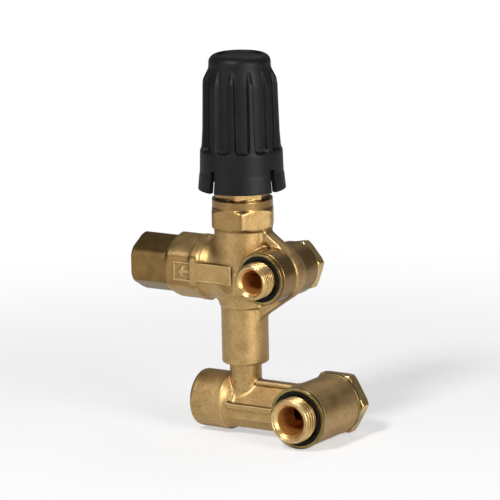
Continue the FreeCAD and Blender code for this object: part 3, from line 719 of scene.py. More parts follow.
def flute_tree() -> tuple[bpy.types.NodeTree, dict[str, str]]:
    """Carves upright flutes with round lower corners into a form turned about Z.

    Returns:
        The tree and the identifiers of its inputs.
    """
    tree, given, ids = start_tree("knob_flutes", {
        "Count": 12.0, "Turn": 0.0, "Width": 6.6, "Wall": 1.0, "Low": 57.4, "Corner": 2.2, "Floor low": 16.5,
        "Floor knee": 15.7, "Floor top": 14.25, "Knee": 88.0, "Top": 95.6})
    size = given.outputs
    place = add(tree, "ShaderNodeSeparateXYZ", {0: add(tree, "GeometryNodeInputPosition").outputs[0]})
    radius = add(tree, "ShaderNodeMath", {0: place.outputs["X"], 1: 2.0}, operation="POWER").outputs[0]
    radius = add(tree, "ShaderNodeMath", {0: place.outputs["Y"], 1: place.outputs["Y"], 2: radius},
                 operation="MULTIPLY_ADD").outputs[0]
    radius = add(tree, "ShaderNodeMath", {0: radius}, operation="SQRT").outputs[0]
    angle = add(tree, "ShaderNodeMath", {0: place.outputs["Y"], 1: place.outputs["X"]},
                operation="ARCTAN2").outputs[0]
    start = add(tree, "ShaderNodeMath", {0: size["Turn"]}, operation="RADIANS").outputs[0]
    angle = add(tree, "ShaderNodeMath", {0: angle, 1: start}, operation="SUBTRACT").outputs[0]
    half = add(tree, "ShaderNodeMath", {0: math.pi, 1: size["Count"]}, operation="DIVIDE").outputs[0]
    # distance along the round surface from the middle of the nearest flute
    from_rib = add(tree, "ShaderNodeMath", {0: angle, 1: half}, operation="PINGPONG").outputs[0]
    from_flute = add(tree, "ShaderNodeMath", {0: half, 1: from_rib}, operation="SUBTRACT").outputs[0]
    arc = add(tree, "ShaderNodeMath", {0: from_flute, 1: radius}, operation="MULTIPLY").outputs[0]
    side = add(tree, "ShaderNodeMath", {0: size["Width"], 1: 0.5, 2: 0.0},
               operation="MULTIPLY_ADD").outputs[0]
    side = add(tree, "ShaderNodeMath", {0: side, 1: size["Corner"]}, operation="SUBTRACT").outputs[0]
    across = add(tree, "ShaderNodeMath", {0: arc, 1: side}, operation="SUBTRACT").outputs[0]
    below = add(tree, "ShaderNodeMath", {0: size["Low"], 1: size["Corner"]}, operation="ADD").outputs[0]
    below = add(tree, "ShaderNodeMath", {0: below, 1: place.outputs["Z"]}, operation="SUBTRACT").outputs[0]
    across_out = add(tree, "ShaderNodeMath", {0: across, 1: 0.0}, operation="MAXIMUM").outputs[0]
    below_out = add(tree, "ShaderNodeMath", {0: below, 1: 0.0}, operation="MAXIMUM").outputs[0]
    corner = add(tree, "ShaderNodeMath", {0: across_out, 1: across_out}, operation="MULTIPLY").outputs[0]
    corner = add(tree, "ShaderNodeMath", {0: below_out, 1: below_out, 2: corner},
                 operation="MULTIPLY_ADD").outputs[0]
    corner = add(tree, "ShaderNodeMath", {0: corner}, operation="SQRT").outputs[0]
    within = add(tree, "ShaderNodeMath", {0: across, 1: below}, operation="MAXIMUM").outputs[0]
    within = add(tree, "ShaderNodeMath", {0: within, 1: 0.0}, operation="MINIMUM").outputs[0]
    edge = add(tree, "ShaderNodeMath", {0: corner, 1: within}, operation="ADD").outputs[0]
    edge = add(tree, "ShaderNodeMath", {0: edge, 1: size["Corner"]}, operation="SUBTRACT").outputs[0]
    half_wall = add(tree, "ShaderNodeMath", {0: size["Wall"], 1: 0.5}, operation="MULTIPLY").outputs[0]
    wall_out = add(tree, "ShaderNodeMath", {0: half_wall, 1: -1.0}, operation="MULTIPLY").outputs[0]
    inside = add(tree, "ShaderNodeMapRange", {"Value": edge, "From Min": half_wall, "From Max": wall_out,
                                              "To Min": 0.0, "To Max": 1.0},
                 interpolation_type="SMOOTHSTEP").outputs[0]

    low_run = add(tree, "ShaderNodeMapRange", {"Value": place.outputs["Z"], "From Min": size["Low"],
                                               "From Max": size["Knee"],
                                               "To Min": size["Floor low"], "To Max": size["Floor knee"]},
                  clamp=True).outputs[0]
    drop = add(tree, "ShaderNodeMath", {0: size["Floor top"], 1: size["Floor knee"]},
               operation="SUBTRACT").outputs[0]
    top_run = add(tree, "ShaderNodeMapRange", {"Value": place.outputs["Z"], "From Min": size["Knee"],
                                               "From Max": size["Top"],
                                               "To Min": 0.0, "To Max": drop}, clamp=True).outputs[0]
    floor = add(tree, "ShaderNodeMath", {0: low_run, 1: top_run}, operation="ADD").outputs[0]
    floor = add(tree, "ShaderNodeMath", {0: floor, 1: radius}, operation="MINIMUM").outputs[0]
    new = add(tree, "ShaderNodeMix", {0: inside, 2: radius, 3: floor}, data_type="FLOAT").outputs[0]
    scale = add(tree, "ShaderNodeMath", {0: new, 1: radius}, operation="DIVIDE").outputs[0]
    flat = add(tree, "ShaderNodeCombineXYZ", {0: scale, 1: scale, 2: 1.0}).outputs[0]
    spot = add(tree, "ShaderNodeVectorMath", {0: add(tree, "GeometryNodeInputPosition").outputs[0], 1: flat},
               operation="MULTIPLY").outputs[0]
    # only the outside of the barrel is carved: its own wall and the space inside it stay
    outside = add(tree, "ShaderNodeMath", {0: radius, 1: size["Floor top"]},
                  operation="GREATER_THAN").outputs[0]
    moved = add(tree, "GeometryNodeSetPosition",
                {"Geometry": given.outputs["Geometry"], "Selection": outside, "Position": spot})
    end_tree(tree, given, moved.outputs[0])
    return tree, ids


# Sub-assemblies


@dataclass
class Thread:
    """A screw thread on a shank or in a bore."""

    radius: float
    depth: float
    pitch: float
    length: float
    chamfer: float
    side: ThreadSide = ThreadSide.MALE
    columns: int = 180

    def mesh(self, tree: bpy.types.NodeTree, ids: dict[str, str], start: tuple, axis: Axis) -> Mesh:
        """Grows the thread.

        Args:
            tree: The screw thread tree.
            ids: The identifiers of its inputs.
            start: The middle of its open end.
            axis: The way it runs from there, X or Y.

        Returns:
            The thread in the valve's frame.
        """
        base = make_object("thread_base", (np.zeros((4, 3)), [np.array([[0, 1, 2, 3]])]))
        rows = round(self.length / self.pitch * 14) + 4
        points, faces = grown(base, tree, ids, {
            "Radius": self.radius, "Depth": self.depth, "Pitch": self.pitch, "Low": 0.0, "High": self.length,
            "Chamfer": self.chamfer, "Side": self.side.value, "Columns": float(self.columns + 1),
                                                "Rows": float(rows)})
        turn = {Axis.Y: np.array([[1, 0, 0], [0, 0, 1], [0, -1, 0]]),
                Axis.X: np.array([[0, 0, 1], [1, 0, 0], [0, 1, 0]])}[axis]
        points = points @ turn.T + np.array(start)
        middle = np.array(start)
        corner = points[faces[0]]
        facing = np.cross(corner[:, 1] - corner[:, 0], corner[:, -1] - corner[:, 0])
        away = corner.mean(1) - middle
        away[:, axis.value] = 0
        if (facing * away).sum() < 0:
            faces = [f[:, ::-1] for f in faces]
        return points, faces


@dataclass
class BanjoBolt:
    """A hollow bolt through one eye, with the two bonded seals that it clamps."""

    name: str
    centre: tuple[float, float, float]
    radius: float
    pitch: float
    depth: float
    across: float
    head: float
    head_turn: float
    bore: float
    cross: float
    half: float
    stick_out: float
    seal_outer: float
    seal: float = 2.0
    chamfer: float = 1.1
    relief: float = 0.4
    step: float = 0.3
    lip: float = 2.15
    cross_place: float = -4.0

    def form(self) -> Form:
        """The bolt without its thread.

        Returns:
            The form.
        """
        seat = self.half + self.seal
        tip = -seat - self.stick_out
        root, small, end = self.radius - self.depth - 0.04, self.radius - self.step, -seat - self.relief
        corner, top = self.across / math.sqrt(3), seat + self.head
        shank = turned([(0, tip), (root - 0.4, tip), (root, tip + 0.4), (root, end), (small, end),
                        (small, seat + 1), (0, seat + 1)],
                       Axis.Y, self.centre)
        limit = turned([(0, seat), (corner - 0.9, seat), (corner - 0.1, seat + 0.5),
                        (corner - 0.1, top - 0.7), (corner - 1.2, top),
                        (0, top)], Axis.Y, self.centre)
        head = shared(0.35, hexagon(self.across, Axis.Y, self.centre, self.head_turn, 0.25), limit)
        bore = turned([(0, tip - 3), (self.bore + 4.5, tip - 3), (self.bore, tip + 1.5), (self.bore, 4.8),
                       (0, 4.8 + self.bore / 2)],
                      Axis.Y, self.centre)
        x, y, z = self.centre
        cross = rod(self.cross, -self.radius - 3, self.radius + 3, Axis.X, (x, y + self.cross_place, z))
        return carved(joined(0.2, shank, head), 0.3, bore, cross)

    def build(self, finish: Finishes, tree: bpy.types.NodeTree, ids: dict[str, str]) -> bpy.types.Object:
        """Makes the bolt and dresses it.

        Args:
            finish: The finishes to dress it in.
            tree: The node tree.
            ids: The identifiers of the tree's inputs.

        Returns:
            The dressed object.
        """
        seat = self.half + self.seal
        tip = -seat - self.stick_out
        x, y, z = self.centre
        thread = Thread(self.radius, self.depth, self.pitch, self.stick_out - self.relief - 0.03,
                        self.chamfer, columns=240)
        mesh = thread.mesh(tree, ids, (x, y + tip + 0.03, z), Axis.Y)
        corner = self.across / math.sqrt(3)
        bolt = form_object(self.name + "_dressed", self.form(), (x - corner, y + tip, z - corner),
                           (x + corner, y + seat + self.head, z + corner),
                           0.29, 0.0, mesh)
        # the bore and cross hole are marked, and the finish gives them its painted bounced-light colour
        mark(bolt, [rod(self.bore, tip, 9, Axis.Y, self.centre),
                    rod(self.cross, -12, 12, Axis.X, (x, y + self.cross_place, z))])
        dress(bolt, self.name, self.name, finish.turned)
        return bolt

    def build_seals(self, finish: Finishes, body: str) -> None:
        """Makes the metal ring and the rubber lip under the thread and under the head.

        Args:
            finish: The finishes to dress it in.
            body: The body that they ride on.
        """
        inner = self.radius + 0.08
        split = inner + self.lip
        for place, low, high in (("front", -self.half - self.seal, -self.half),
                                 ("rear", self.half, self.half + self.seal)):
            ring = softened([(split, low), (self.seal_outer, low), (self.seal_outer, high), (split, high)],
                            0.3)
            node = f"{self.name.split('_')[0]}_{place}_seal_ring"
            dress(make_object(node + "_dressed", lathe(ring, Axis.Y, self.centre, 240)), node, body,
                  finish.plated, crease=50)
            lip = softened([(split, low + 0.35), (split, high - 0.35), (split - 0.8, high - 0.3),
                            (inner + 0.3, high - 0.55),
                            (inner + 0.1, 0.5 * (low + high)), (inner + 0.3, low + 0.55),
                            (split - 0.8, low + 0.3)], 0.3)
            node = f"{self.name.split('_')[0]}_{place}_seal_lip"
            dress(make_object(node + "_dressed", lathe(lip, Axis.Y, self.centre, 240)), node, body,
                  finish.rubber)


@dataclass
class ValveBody:
    """The forged body: barrel, hexagon, arm block, web, eye and telescope tube."""

    eye: tuple[float, float, float] = (18.4, 0.0, 0.8)
    boss: float = 12.4
    half: float = 13.8
    web: float = 13.4
    web_half: float = 3.4
    field_half: float = 2.0
    rim: float = 3.4
    draft: float = 0.155
    cell: float = 0.5

    def web_corners(self, inset: float) -> list[tuple[float, float]]:
        """Outline of the web in X and Z, set in by inset.

        Args:
            inset: How far it is set in.

        Returns:
            The outline's corners.
        """
        radius = self.web - inset
        ex, _, ez = self.eye
        out = []
        for (x, z), side in (((12.2 - inset, 21.5 - inset), 1), ((9.85 - inset, -21.5 + inset), -1)):
            angle = math.atan2(z - ez, x - ex) - side * math.acos(radius / math.hypot(x - ex, z - ez))
            out.append(((x, z), angle))
        (top, a1), (low, a0) = out
        arc = [(ex + radius * math.cos(a0 + (a1 - a0) * k / 32),
                ez + radius * math.sin(a0 + (a1 - a0) * k / 32)) for k in range(33)]
        return [(0.0, low[1]), low] + arc + [top, (0.0, top[1])]

    def web_form(self) -> Form:
        """The web with its drafted rim and thinner field.

        Returns:
            The form.
        """
        outer, inner = self.web_corners(0), self.web_corners(self.rim)

        def distance(p: np.ndarray) -> np.ndarray:
            """Distance to the web.

            Args:
                p: The points, in millimetres.

            Returns:
                The signed distances.
            """
            y = np.abs(p[:, 1])
            edge = outline(p[:, 0], p[:, 2], outer)
            plate = bulge(edge + y * self.draft, y - self.web_half, 0.9)
            field_cut = bulge(outline(p[:, 0], p[:, 2], inner) - (y - self.web_half) * 0.25,
                              self.field_half - y, 0.8)
            return bulge(plate, -field_cut, 0.8)
        return distance

    def outside(self) -> Form:
        """The forging before it is machined.

        Returns:
            The form.
        """
        barrel = rod(13.2, -9, 22, edge=1.0)
        waist = turned([(0, -15.5), (11.4, -15.5), (11.6, -12.5), (13.2, -7), (13.2, 0), (0, 0)])
        tube = rod(10.85, -42.7, -12, edge=1.1)
        hex_limit = turned([(0, 20.6), (13.5, 20.6), (15.9, 22.0), (15.9, 29.3), (14.0, 30.6), (0, 30.6)])
        top_hex = shared(0.8, hexagon(28.0, Axis.Z, edge=0.9), hex_limit)
        ring = rod(14.0, 29.6, 34.7, edge=0.4)
        column = joined(1.2, joined(2.0, barrel, waist), tube)
        column = joined(0.9, column, top_hex)
        column = joined(0.25, column, ring)

        limit = turned([(0, -35.3), (13.1, -35.3), (15.3, -33.1), (15.3, -17.2), (0, -17.2)], Axis.X)
        arm_block = shared(0.9, hexagon(28.0, Axis.X, turn=30, edge=1.2), limit)
        neck = turned([(0, -20), (14.6, -20), (14.4, -17.0), (13.6, -12.5), (12.8, 0), (0, 0)], Axis.X)
        arm = joined(2.2, arm_block, neck)
        boss = rod(self.boss, -self.half, self.half, Axis.Y, self.eye, 0.25)
        body = joined(4.0, column, arm)
        body = joined(2.2, body, self.web_form())
        body = joined(1.6, body, boss)
        plate = block((-18.2, -14.35, -4.2), (2.0, -6, 4.9), 0.2)
        frame_outer = block((-29.6, -14.55, -4.5), (-18.4, -6, 4.5), 0.15)
        frame_inner = block((-28.7, -20, -3.6), (-19.3, -5, 3.6), 0.1)
        return joined(0.2, joined(0.4, body, plate), carved(frame_outer, 0.2, frame_inner), self.arrow())

    def arrow(self) -> Form:
        """A raised flow arrow in the frame, pointing to the outlet.

        Returns:
            The form.
        """
        corners = [(-27.4, 0.0), (-24.2, 2.5), (-24.2, 0.9), (-20.6, 0.9), (-20.6, -0.9), (-24.2, -0.9),
                   (-24.2, -2.5)]
        return lambda p: bulge(outline(p[:, 0], p[:, 2], corners), np.abs(p[:, 1] + 11.5) - 3.05, 0.3)

    def tools(self) -> list[Form]:
        """What the drills and cutters take out.

        Returns:
            The forms to take away.
        """
        return [
            rod(11.5, 22.2, 40), rod(7.0, -11.3, 40), rod(4.2, -50, 0), rod(7.45, -50, -17),
            rod(8.41, -20, 20, Axis.Y, self.eye), rod(9.58, -4.8, 4.8, Axis.Y, self.eye),
            block((-17.6, -15, 4.85), (1.6, -12.7, 5.25), 0.1), rod(3.5, 0, 10.1, Axis.X, (0, 0, 0.8)),
                rod(9.7, -42, -22.3, Axis.X), rod(8.2, -30, -16.5, Axis.X), rod(4.5, -20, 0, Axis.X),
        ]

    def build(self, finish: Finishes) -> bpy.types.Object:
        """Makes the body and dresses it.

        Args:
            finish: The finishes to dress it in.

        Returns:
            The dressed object.
        """
        form = carved(self.outside(), 0.15, *self.tools())
        made = form_object("valve_body_dressed", form, (-35.3, -15, -42.7), (32, 14, 34.7), self.cell, 0.0)
        boss = rod(self.boss, -self.half, self.half, Axis.Y, self.eye)
        rear = between(-self.half + 0.01, self.half - 0.01, Axis.Y)
        mark(made, [boss, *self.tools(), rod(14.0, 30.6, 34.7), lambda p: -35.3 - p[:, 0], rear])
        dress(made, "valve_body", "body", finish.forged)
        return made


@dataclass
class Manifold:
    """The forged bypass manifold: socket, ribbed arm, neck and eye."""

    level: float = -62.0
    eye_x: float = 37.6
    eye_radius: float = 14.1
    half: float = 14.7
    socket: float = 13.3
    mouth: float = -23.5
    cell: float = 0.49

    def outside(self) -> Form:
        """The forging before it is machined.

        Returns:
            The form.
        """
        level = (0.0, 0.0, self.level)
        socket = turned([(0, self.mouth), (11.9, self.mouth), (13.0, self.mouth + 0.6),
                         (13.3, self.mouth + 1.6), (13.3, -6.6), (9.8, -3.2), (0, -3.2)],
                        Axis.X, level)
        flat = [(2.3, 11.3), (2.5, 10.5), (3.1, 9.7), (9.8, 1.8), (9.4, -1.4), (9.0, -3.0), (9.3, -6.0),
                (5.0, -11.0)]
        flat += [(-y, z) for y, z in reversed(flat)]
        inset = [(y * 0.96, z * 0.96) for y, z in flat]

        def arm(p: np.ndarray) -> np.ndarray:
            """Distance to the roof-shaped arm."""
            section = outline(p[:, 1], p[:, 2] - self.level, inset) - 0.4
            return np.maximum(section, np.abs(p[:, 0] - 14.8) - 22.8)

        rib = block((-5, -11.2, self.level - 1.1), (34.6, 11.2, self.level + 1.35), 0.5)
        eye = rod(self.eye_radius, -self.half, self.half, Axis.Y, (self.eye_x, 0, self.level), 0.25)
        neck = rod(7.37, self.level, -24)
        body = joined(3.0, socket, arm)
        body = joined(0.5, body, rib)
        body = joined(2.0, body, eye)
        return joined(1.2, body, neck)

    def tools(self) -> list[Form]:
        """What the drills and cutters take out.

        Returns:
            The forms to take away.
        """
        level, eye = (0.0, 0.0, self.level), (self.eye_x, 0.0, self.level)
        grooves = [carved(rod(8.4, z - 0.9, z + 0.9), 0.0, rod(5.65, z - 3, z + 3)) for z in (-28.0, -33.5)]
        grooves += [rod(0.42, -4.5, 34, Axis.X, (0, side * 10.35, self.level + 1.6)) for side in (-1, 1)]
        grooves += [rod(0.4, -4.5, 30, Axis.X, (0, side * 3.25, self.level + 9.75)) for side in (-1, 1)]
        return grooves + [
            rod(5.0, self.level, -20), rod(9.3, -30, self.mouth + 15.5, Axis.X, level),
                          rod(6.2, -20, 27.1, Axis.X, level),
            rod(10.56, -20, 20, Axis.Y, eye), rod(11.73, -5.8, 5.8, Axis.Y, eye),
        ]

    def build(self, finish: Finishes, tree: bpy.types.NodeTree, ids: dict[str, str]) -> bpy.types.Object:
        """Makes the manifold and dresses it.

        Args:
            finish: The finishes to dress it in.
            tree: The node tree.
            ids: The identifiers of the tree's inputs.

        Returns:
            The dressed object.
        """
        form = carved(self.outside(), 0.15, *self.tools())
        thread = Thread(9.3, 1.0, 1.814, 14.0, 1.1, ThreadSide.FEMALE, 120)
        mesh = thread.mesh(tree, ids, (self.mouth + 0.05, 0, self.level), Axis.X)
        made = form_object("bypass_manifold_dressed", form, (self.mouth, -15, self.level - 14.2),
                           (51.8, 15, -24), self.cell, 0.0, mesh)
        ends = between(-self.half + 0.01, self.half - 0.01, Axis.Y)
        mark(made, [*self.tools(), lambda p: self.mouth - p[:, 0], ends, rod(7.37, -42.6, -24)])
        dress(made, "bypass_manifold", "manifold", finish.forged)
        return made


@dataclass
class OutletAdapter:
    """The hexagon screwed into the arm, with a female thread."""

    across: float = 24.0
    end: float = -54.5
    seat: float = -35.3

    def build(self, finish: Finishes, tree: bpy.types.NodeTree, ids: dict[str, str]) -> bpy.types.Object:
        """Makes the adapter and dresses it.

        Args:
            finish: The finishes to dress it in.
            tree: The node tree.
            ids: The identifiers of the tree's inputs.

        Returns:
            The dressed object.
        """
        end, seat = self.end, self.seat
        limit = turned([(0, end), (12.5, end), (13.1, end + 0.5), (13.5, end + 1.2), (13.5, seat),
                        (0, seat)], Axis.X)
        head = shared(0.5, hexagon(self.across, Axis.X, turn=30, edge=0.5), limit)
        spigot = rod(9.6, seat - 1, seat + 12, Axis.X)
        mouth = turned([(0, end - 3), (11.4, end - 3), (7.48, end + 0.9), (7.48, end + 14), (3.8, end + 16),
                        (0, end + 16)], Axis.X)
        seal_cut = carved(rod(10.7, seat, seat + 1.8, Axis.X), 0.0, rod(7.9, seat - 1, seat + 3, Axis.X))
        form = carved(joined(0.0, head, spigot), 0.15, mouth, seal_cut,
                      rod(5.9, seat + 4.4, seat + 14, Axis.X), rod(3.8, end, seat + 14, Axis.X))
        thread = Thread(7.48, 0.85, 1.337, 12.5, 1.0, ThreadSide.FEMALE, 120)
        mesh = thread.mesh(tree, ids, (end + 0.05, 0, 0), Axis.X)
        made = form_object("outlet_adapter_dressed", form, (end, -13.6, -13.6), (seat + 12, 13.6, 13.6), 0.3,
                           0.0, mesh)
        dress(made, "outlet_adapter", "body", finish.drawn)
        return made


@dataclass
class GuideNut:
    """The hexagon nut between body and knob."""

    across: float = 22.0
    seat: float = 34.7
    turn: float = 45.7

    def build(self, finish: Finishes) -> bpy.types.Object:
        """Makes the nut and dresses it.

        Args:
            finish: The finishes to dress it in.

        Returns:
            The dressed object.
        """
        seat, corner = self.seat, self.across / math.sqrt(3)
        limit = turned([(0, seat), (corner, seat), (corner, seat + 5.7), (self.across / 2, seat + 6.5),
                        (0, seat + 6.5)])
        head = shared(0.3, hexagon(self.across, Axis.Z, turn=self.turn, edge=0.3), limit)
        form = joined(0.0, rod(11.45, seat - 12.5, seat + 0.5), head, rod(11.0, seat, seat + 8.5),
                      rod(12.0, seat + 8.5, 67.5, edge=0.5))
        form = carved(form, 0.2, rod(9.6, 0, 90))
        made = form_object("guide_nut_dressed", form, (-12.8, -12.8, seat - 12.5), (12.8, 12.8, 67.5), 0.36,
                           0.0)
        dress(made, "guide_nut", "body", finish.nut)
        return made


@dataclass
class Knob:
    """The fluted knob with its slotted skirt and the bare disc in its top."""

    turn: float = -11.3
    top: float = 101.2
    wall: float = 2.3
    slot: float = 2.6
    slot_top: float = 49.4
    recess: float = 10.3
    flute_width: float = 6.6
    outer: list[tuple[float, float]] = field(default_factory=lambda: [
        (14.25, 95.9), (14.4, 95.1), (17.2, 89.4), (17.45, 87.6), (18.0, 66.0), (18.6, 57.5), (18.95, 56.9),
                                                                      (19.22, 46.9), (19.42, 46.3),
                                                                      (20.2, 38.9)])

    def profile(self) -> tuple[list[tuple[float, float]], int, int]:
        """The knob's outline from the recess's middle over the outside to the roof inside.

        Returns:
            The outline, and the numbers of its rows at the top of the slots, outside and inside.
        """
        cap, floor = 4.0, self.top - 3.6
        rows = [(0.0, floor), (self.recess, floor), (self.recess, self.top - 1.4),
                (self.recess + 0.12, self.top - 0.35)]
        for k in range(1, 15):
            angle = math.pi / 2 * k / 14
            rows.append((10.25 + cap * math.sin(angle) + 0.12 * math.cos(angle),
                         self.top - cap + cap * math.cos(angle)))
        knots = [rows[-1]] + self.outer
        smooth: list[tuple[float, float]] = []
        for (r0, z0), (r1, z1) in zip(knots, knots[1:]):
            steps = max(1, math.ceil(math.hypot(r1 - r0, z1 - z0) / 0.5))
            smooth += [(r0 + (r1 - r0) * k / steps, z0 + (z1 - z0) * k / steps) for k in range(steps)]
        smooth.append(knots[-1])
        radii, heights = np.array(smooth).T
        for _ in range(2):  # soft bends where the straight runs meet
            radii[1:-1] = 0.25 * radii[:-2] + 0.5 * radii[1:-1] + 0.25 * radii[2:]
        above = [(r, z) for r, z in zip(radii, heights) if z > self.slot_top + 0.2]
        below = [(r, z) for r, z in zip(radii, heights) if 39.3 < z < self.slot_top - 0.2]

        def radius_at(z: float) -> float:
            """The outline's radius at a height."""
            return float(np.interp(z, heights[::-1], radii[::-1]))

        outside = [(radius_at(self.slot_top), self.slot_top)] + below + [(radius_at(39.2), 39.2),
                                                                         (19.95, 38.95)]
        inside = [(r - self.wall, z) for r, z in outside[:-1]] + [(18.2, 38.95)]
        rows += above[1:]
        first = len(rows)
        rows += outside + inside[::-1]
        last = len(rows) - 1
        rows += [(17.0, 50.4), (17.0, 51.5), (13.7, 51.5), (13.7, 66.0), (13.7, 81.5), (0.0, 81.5)]
        return rows, first, last

    def base(self) -> Mesh:
        """The knob turned from its outline, with its slots, before the flutes are carved.

        Returns:
            The mesh.
        """
        rows, first, last = self.profile()
        slot_angle = math.degrees(math.asin(self.slot / 2 / 19.4))
        one = [0.0, 0.9, 1.8, 2.4, 2.8, 3.2, slot_angle - 0.25, slot_angle, 4.15, 4.5, 4.9, 5.3, 5.7, 6.2,
               7.0, 8.2, 9.8, 11.5, 13.2]
        sector = one + [15.0] + [30 - a for a in reversed(one[1:])]
        angles = np.radians(self.turn + np.array([30 * k + a for k in range(12) for a in sector]))
        columns, count = len(angles), len(rows)
        outline_rows = np.array(rows)
        points = np.stack([np.outer(np.cos(angles), outline_rows[:, 0]),
                           np.outer(np.sin(angles), outline_rows[:, 0]),
                           np.tile(outline_rows[:, 1], (columns, 1))], -1).reshape(-1, 3)
        width = one.index(slot_angle)
        per = len(sector)
        in_slot = np.zeros(columns, bool)
        for k in range(0, 12, 3):
            for step in range(-width, width):
                in_slot[(k * per + step) % columns] = True
        i, j = (g.ravel() for g in np.meshgrid(np.arange(columns), np.arange(count - 1), indexing="ij"))
        keep = ~(in_slot[i] & (j >= first) & (j < last))
        i, j = i[keep], j[keep]
        i2 = (i + 1) % columns
        faces = [np.column_stack([i * count + j, i * count + j + 1, i2 * count + j + 1, i2 * count + j])]
        walls = []
        for k in range(0, 12, 3):
            for column in ((k * per - width) % columns, (k * per + width) % columns):
                for m in range((last - first + 1) // 2 - 1):
                    walls.append([column * count + v
                                  for v in (first + m, first + m + 1, last - m - 1, last - m)])
            for step in range(-width, width):
                a, b = (k * per + step) % columns, (k * per + step + 1) % columns
                walls.append([a * count + first, b * count + first, b * count + last, a * count + last])
        faces.append(np.array(walls))
        return points, faces

    def build(self, finish: Finishes) -> None:
        """Makes the knob and its disc and dresses them.

        Args:
            finish: The finishes to dress it in.
        """
        tree, ids = flute_tree()
        base = make_object("knob_base", self.base())
        base.data.transform(Matrix.Scale(1000, 4))
        shift = Matrix.Translation(ORIGIN)
        base.data.transform(shift)
        mesh = grown(base, tree, ids, {"Count": 12.0, "Turn": self.turn, "Width": self.flute_width,
                                       "Wall": 1.1, "Low": 57.6, "Corner": 2.0,
                                       "Floor low": 16.4, "Floor knee": 15.7, "Floor top": 14.3,
                                       "Knee": 88.0, "Top": 95.4})
        made = make_object("knob_dressed", mesh)
        close_up(made)
        dress(made, "knob", "knob", finish.nylon, crease=48)
        low, high = self.top - 3.6, self.top - 1.0
        disc = [(0.0, low), (self.recess - 0.02, low), (self.recess - 0.02, high - 0.25),
                (self.recess - 0.3, high), (0.0, high)]
        cap = make_object("knob_cap_dressed", lathe([(max(r, 0.001), z) for r, z in disc], Axis.Z, (0, 0, 0),
                                                    120))
        close_up(cap)
        dress(cap, "knob_cap", "knob", finish.nylon, crease=30)


def close_up(made: bpy.types.Object) -> None:
    """Merges doubled points and turns every face outwards.

    Args:
        made: The object.
    """
    mesh = bmesh.new()
    mesh.from_mesh(made.data)
    bmesh.ops.remove_doubles(mesh, verts=mesh.verts, dist=5e-6)
    bmesh.ops.recalc_face_normals(mesh, faces=mesh.faces)
    mesh.to_mesh(made.data)
    mesh.free()


def mark(made: bpy.types.Object, surfaces: list[Form]) -> None:
    """Writes on each point whether it is machined (1 on cut metal) and how it bends (edge, 0.5 where flat).

    Args:
        made: The object.
        surfaces: Forms whose surfaces are machined.
    """
    count = len(made.data.vertices)
    points = np.empty(count * 3, np.float32)
    made.data.vertices.foreach_get("co", points)
    points = points.reshape(-1, 3).astype(float) * 1000 + ORIGIN
    nearest = np.full(count, 9.0)
    for surface in surfaces:
        nearest = np.minimum(nearest, np.abs(surface(points)))
    layer = made.data.attributes.new("machined", "FLOAT", "POINT")
    # the mark fades out between 0.15 and 0.4 mm from the cut surface
    layer.data.foreach_set("value", np.clip(1.6 - nearest * 4, 0, 1).astype(np.float32))
    layer = made.data.attributes.new("edge", "FLOAT", "POINT")
    layer.data.foreach_set("value", np.clip(0.5 + 2.2 * bending(made), 0, 1).astype(np.float32))


def bending(made: bpy.types.Object) -> np.ndarray:
    """How far each point of an object stands out of its neighbours: above 0 on an edge, below 0 in a corner.

    Args:
        made: The object.

    Returns:
        One value for each point.
    """
    mesh, count = made.data, len(made.data.vertices)
    points, normals = np.empty(count * 3, np.float32), np.empty(count * 3, np.float32)
    mesh.vertices.foreach_get("co", points)
    mesh.vertex_normals.foreach_get("vector", normals)
    points, normals = points.reshape(-1, 3) * 1000, normals.reshape(-1, 3)
    ends = np.empty(len(mesh.edges) * 2, np.int32)
    mesh.edges.foreach_get("vertices", ends)
    first, second = ends.reshape(-1, 2).T
    here, there = np.concatenate([first, second]), np.concatenate([second, first])
    degree = np.maximum(np.bincount(here, minlength=count), 1)

    def around(values: np.ndarray) -> np.ndarray:
        """The mean of a value over each point's neighbours."""
        return np.bincount(here, values[there], count) / degree

    span = float(np.median(np.linalg.norm(points[first] - points[second], axis=1)))
    bend = sum((points[:, k] - around(points[:, k])) * normals[:, k] for k in range(3)) / span
    for _ in range(3):
        bend = 0.5 * bend + 0.5 * around(bend)
    return bend


def dress(made: bpy.types.Object, node: str, body: str, finish: "Finish",
          crease: float | None = None) -> None:
    """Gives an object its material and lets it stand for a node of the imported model.

    Args:
        made: The object.
        node: The node that it replaces.
        body: The body that it rides on.
        finish: Its finish.
        crease: Angle in degrees past which an edge is shaded sharp, or None to leave the shading.
    """
    made.data.materials.clear()
    made.data.materials.append(finish.material)
    if crease is not None:
        made.data.set_sharp_from_angle(angle=math.radians(crease))
    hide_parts(node)
    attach(made, body)
    log.info("%s stands for %s: %d triangles", made.name, node,
             sum(len(face.vertices) - 2 for face in made.data.polygons))


# Finishes


def srgb(code: str) -> tuple[float, float, float, float]:
    """A hex colour such as #C8A468 as the linear colour that a shader takes."""
    parts = (int(code[i:i + 2], 16) / 255 for i in (1, 3, 5))
    return (*((v / 12.92 if v <= 0.04045 else ((v + 0.055) / 1.055) ** 2.4) for v in parts), 1.0)


def start_material(name: str, slot: str, metallic: float, roughness: float) -> tuple["Finish",
                                                                                     bpy.types.NodeTree,
                                                                                     bpy.types.Node]:
    """Starts a material with its shader.

    Args:
        name: The real material and how its surface was made.
        slot: The record's slot that it stands for.
        metallic: How metallic the shader is.
        roughness: Its roughness where nothing is linked to it.

    Returns:
        The finish, its tree and its shader.
    """
    material = bpy.data.materials.new(name)
    material.use_nodes = True
    tree = material.node_tree
    tree.nodes.clear()
    shader = add(tree, "ShaderNodeBsdfPrincipled", {"Metallic": metallic, "Roughness": roughness})
    add(tree, "ShaderNodeOutputMaterial", {"Surface": shader.outputs[0]})
    return Finish(slot, material), tree, shader


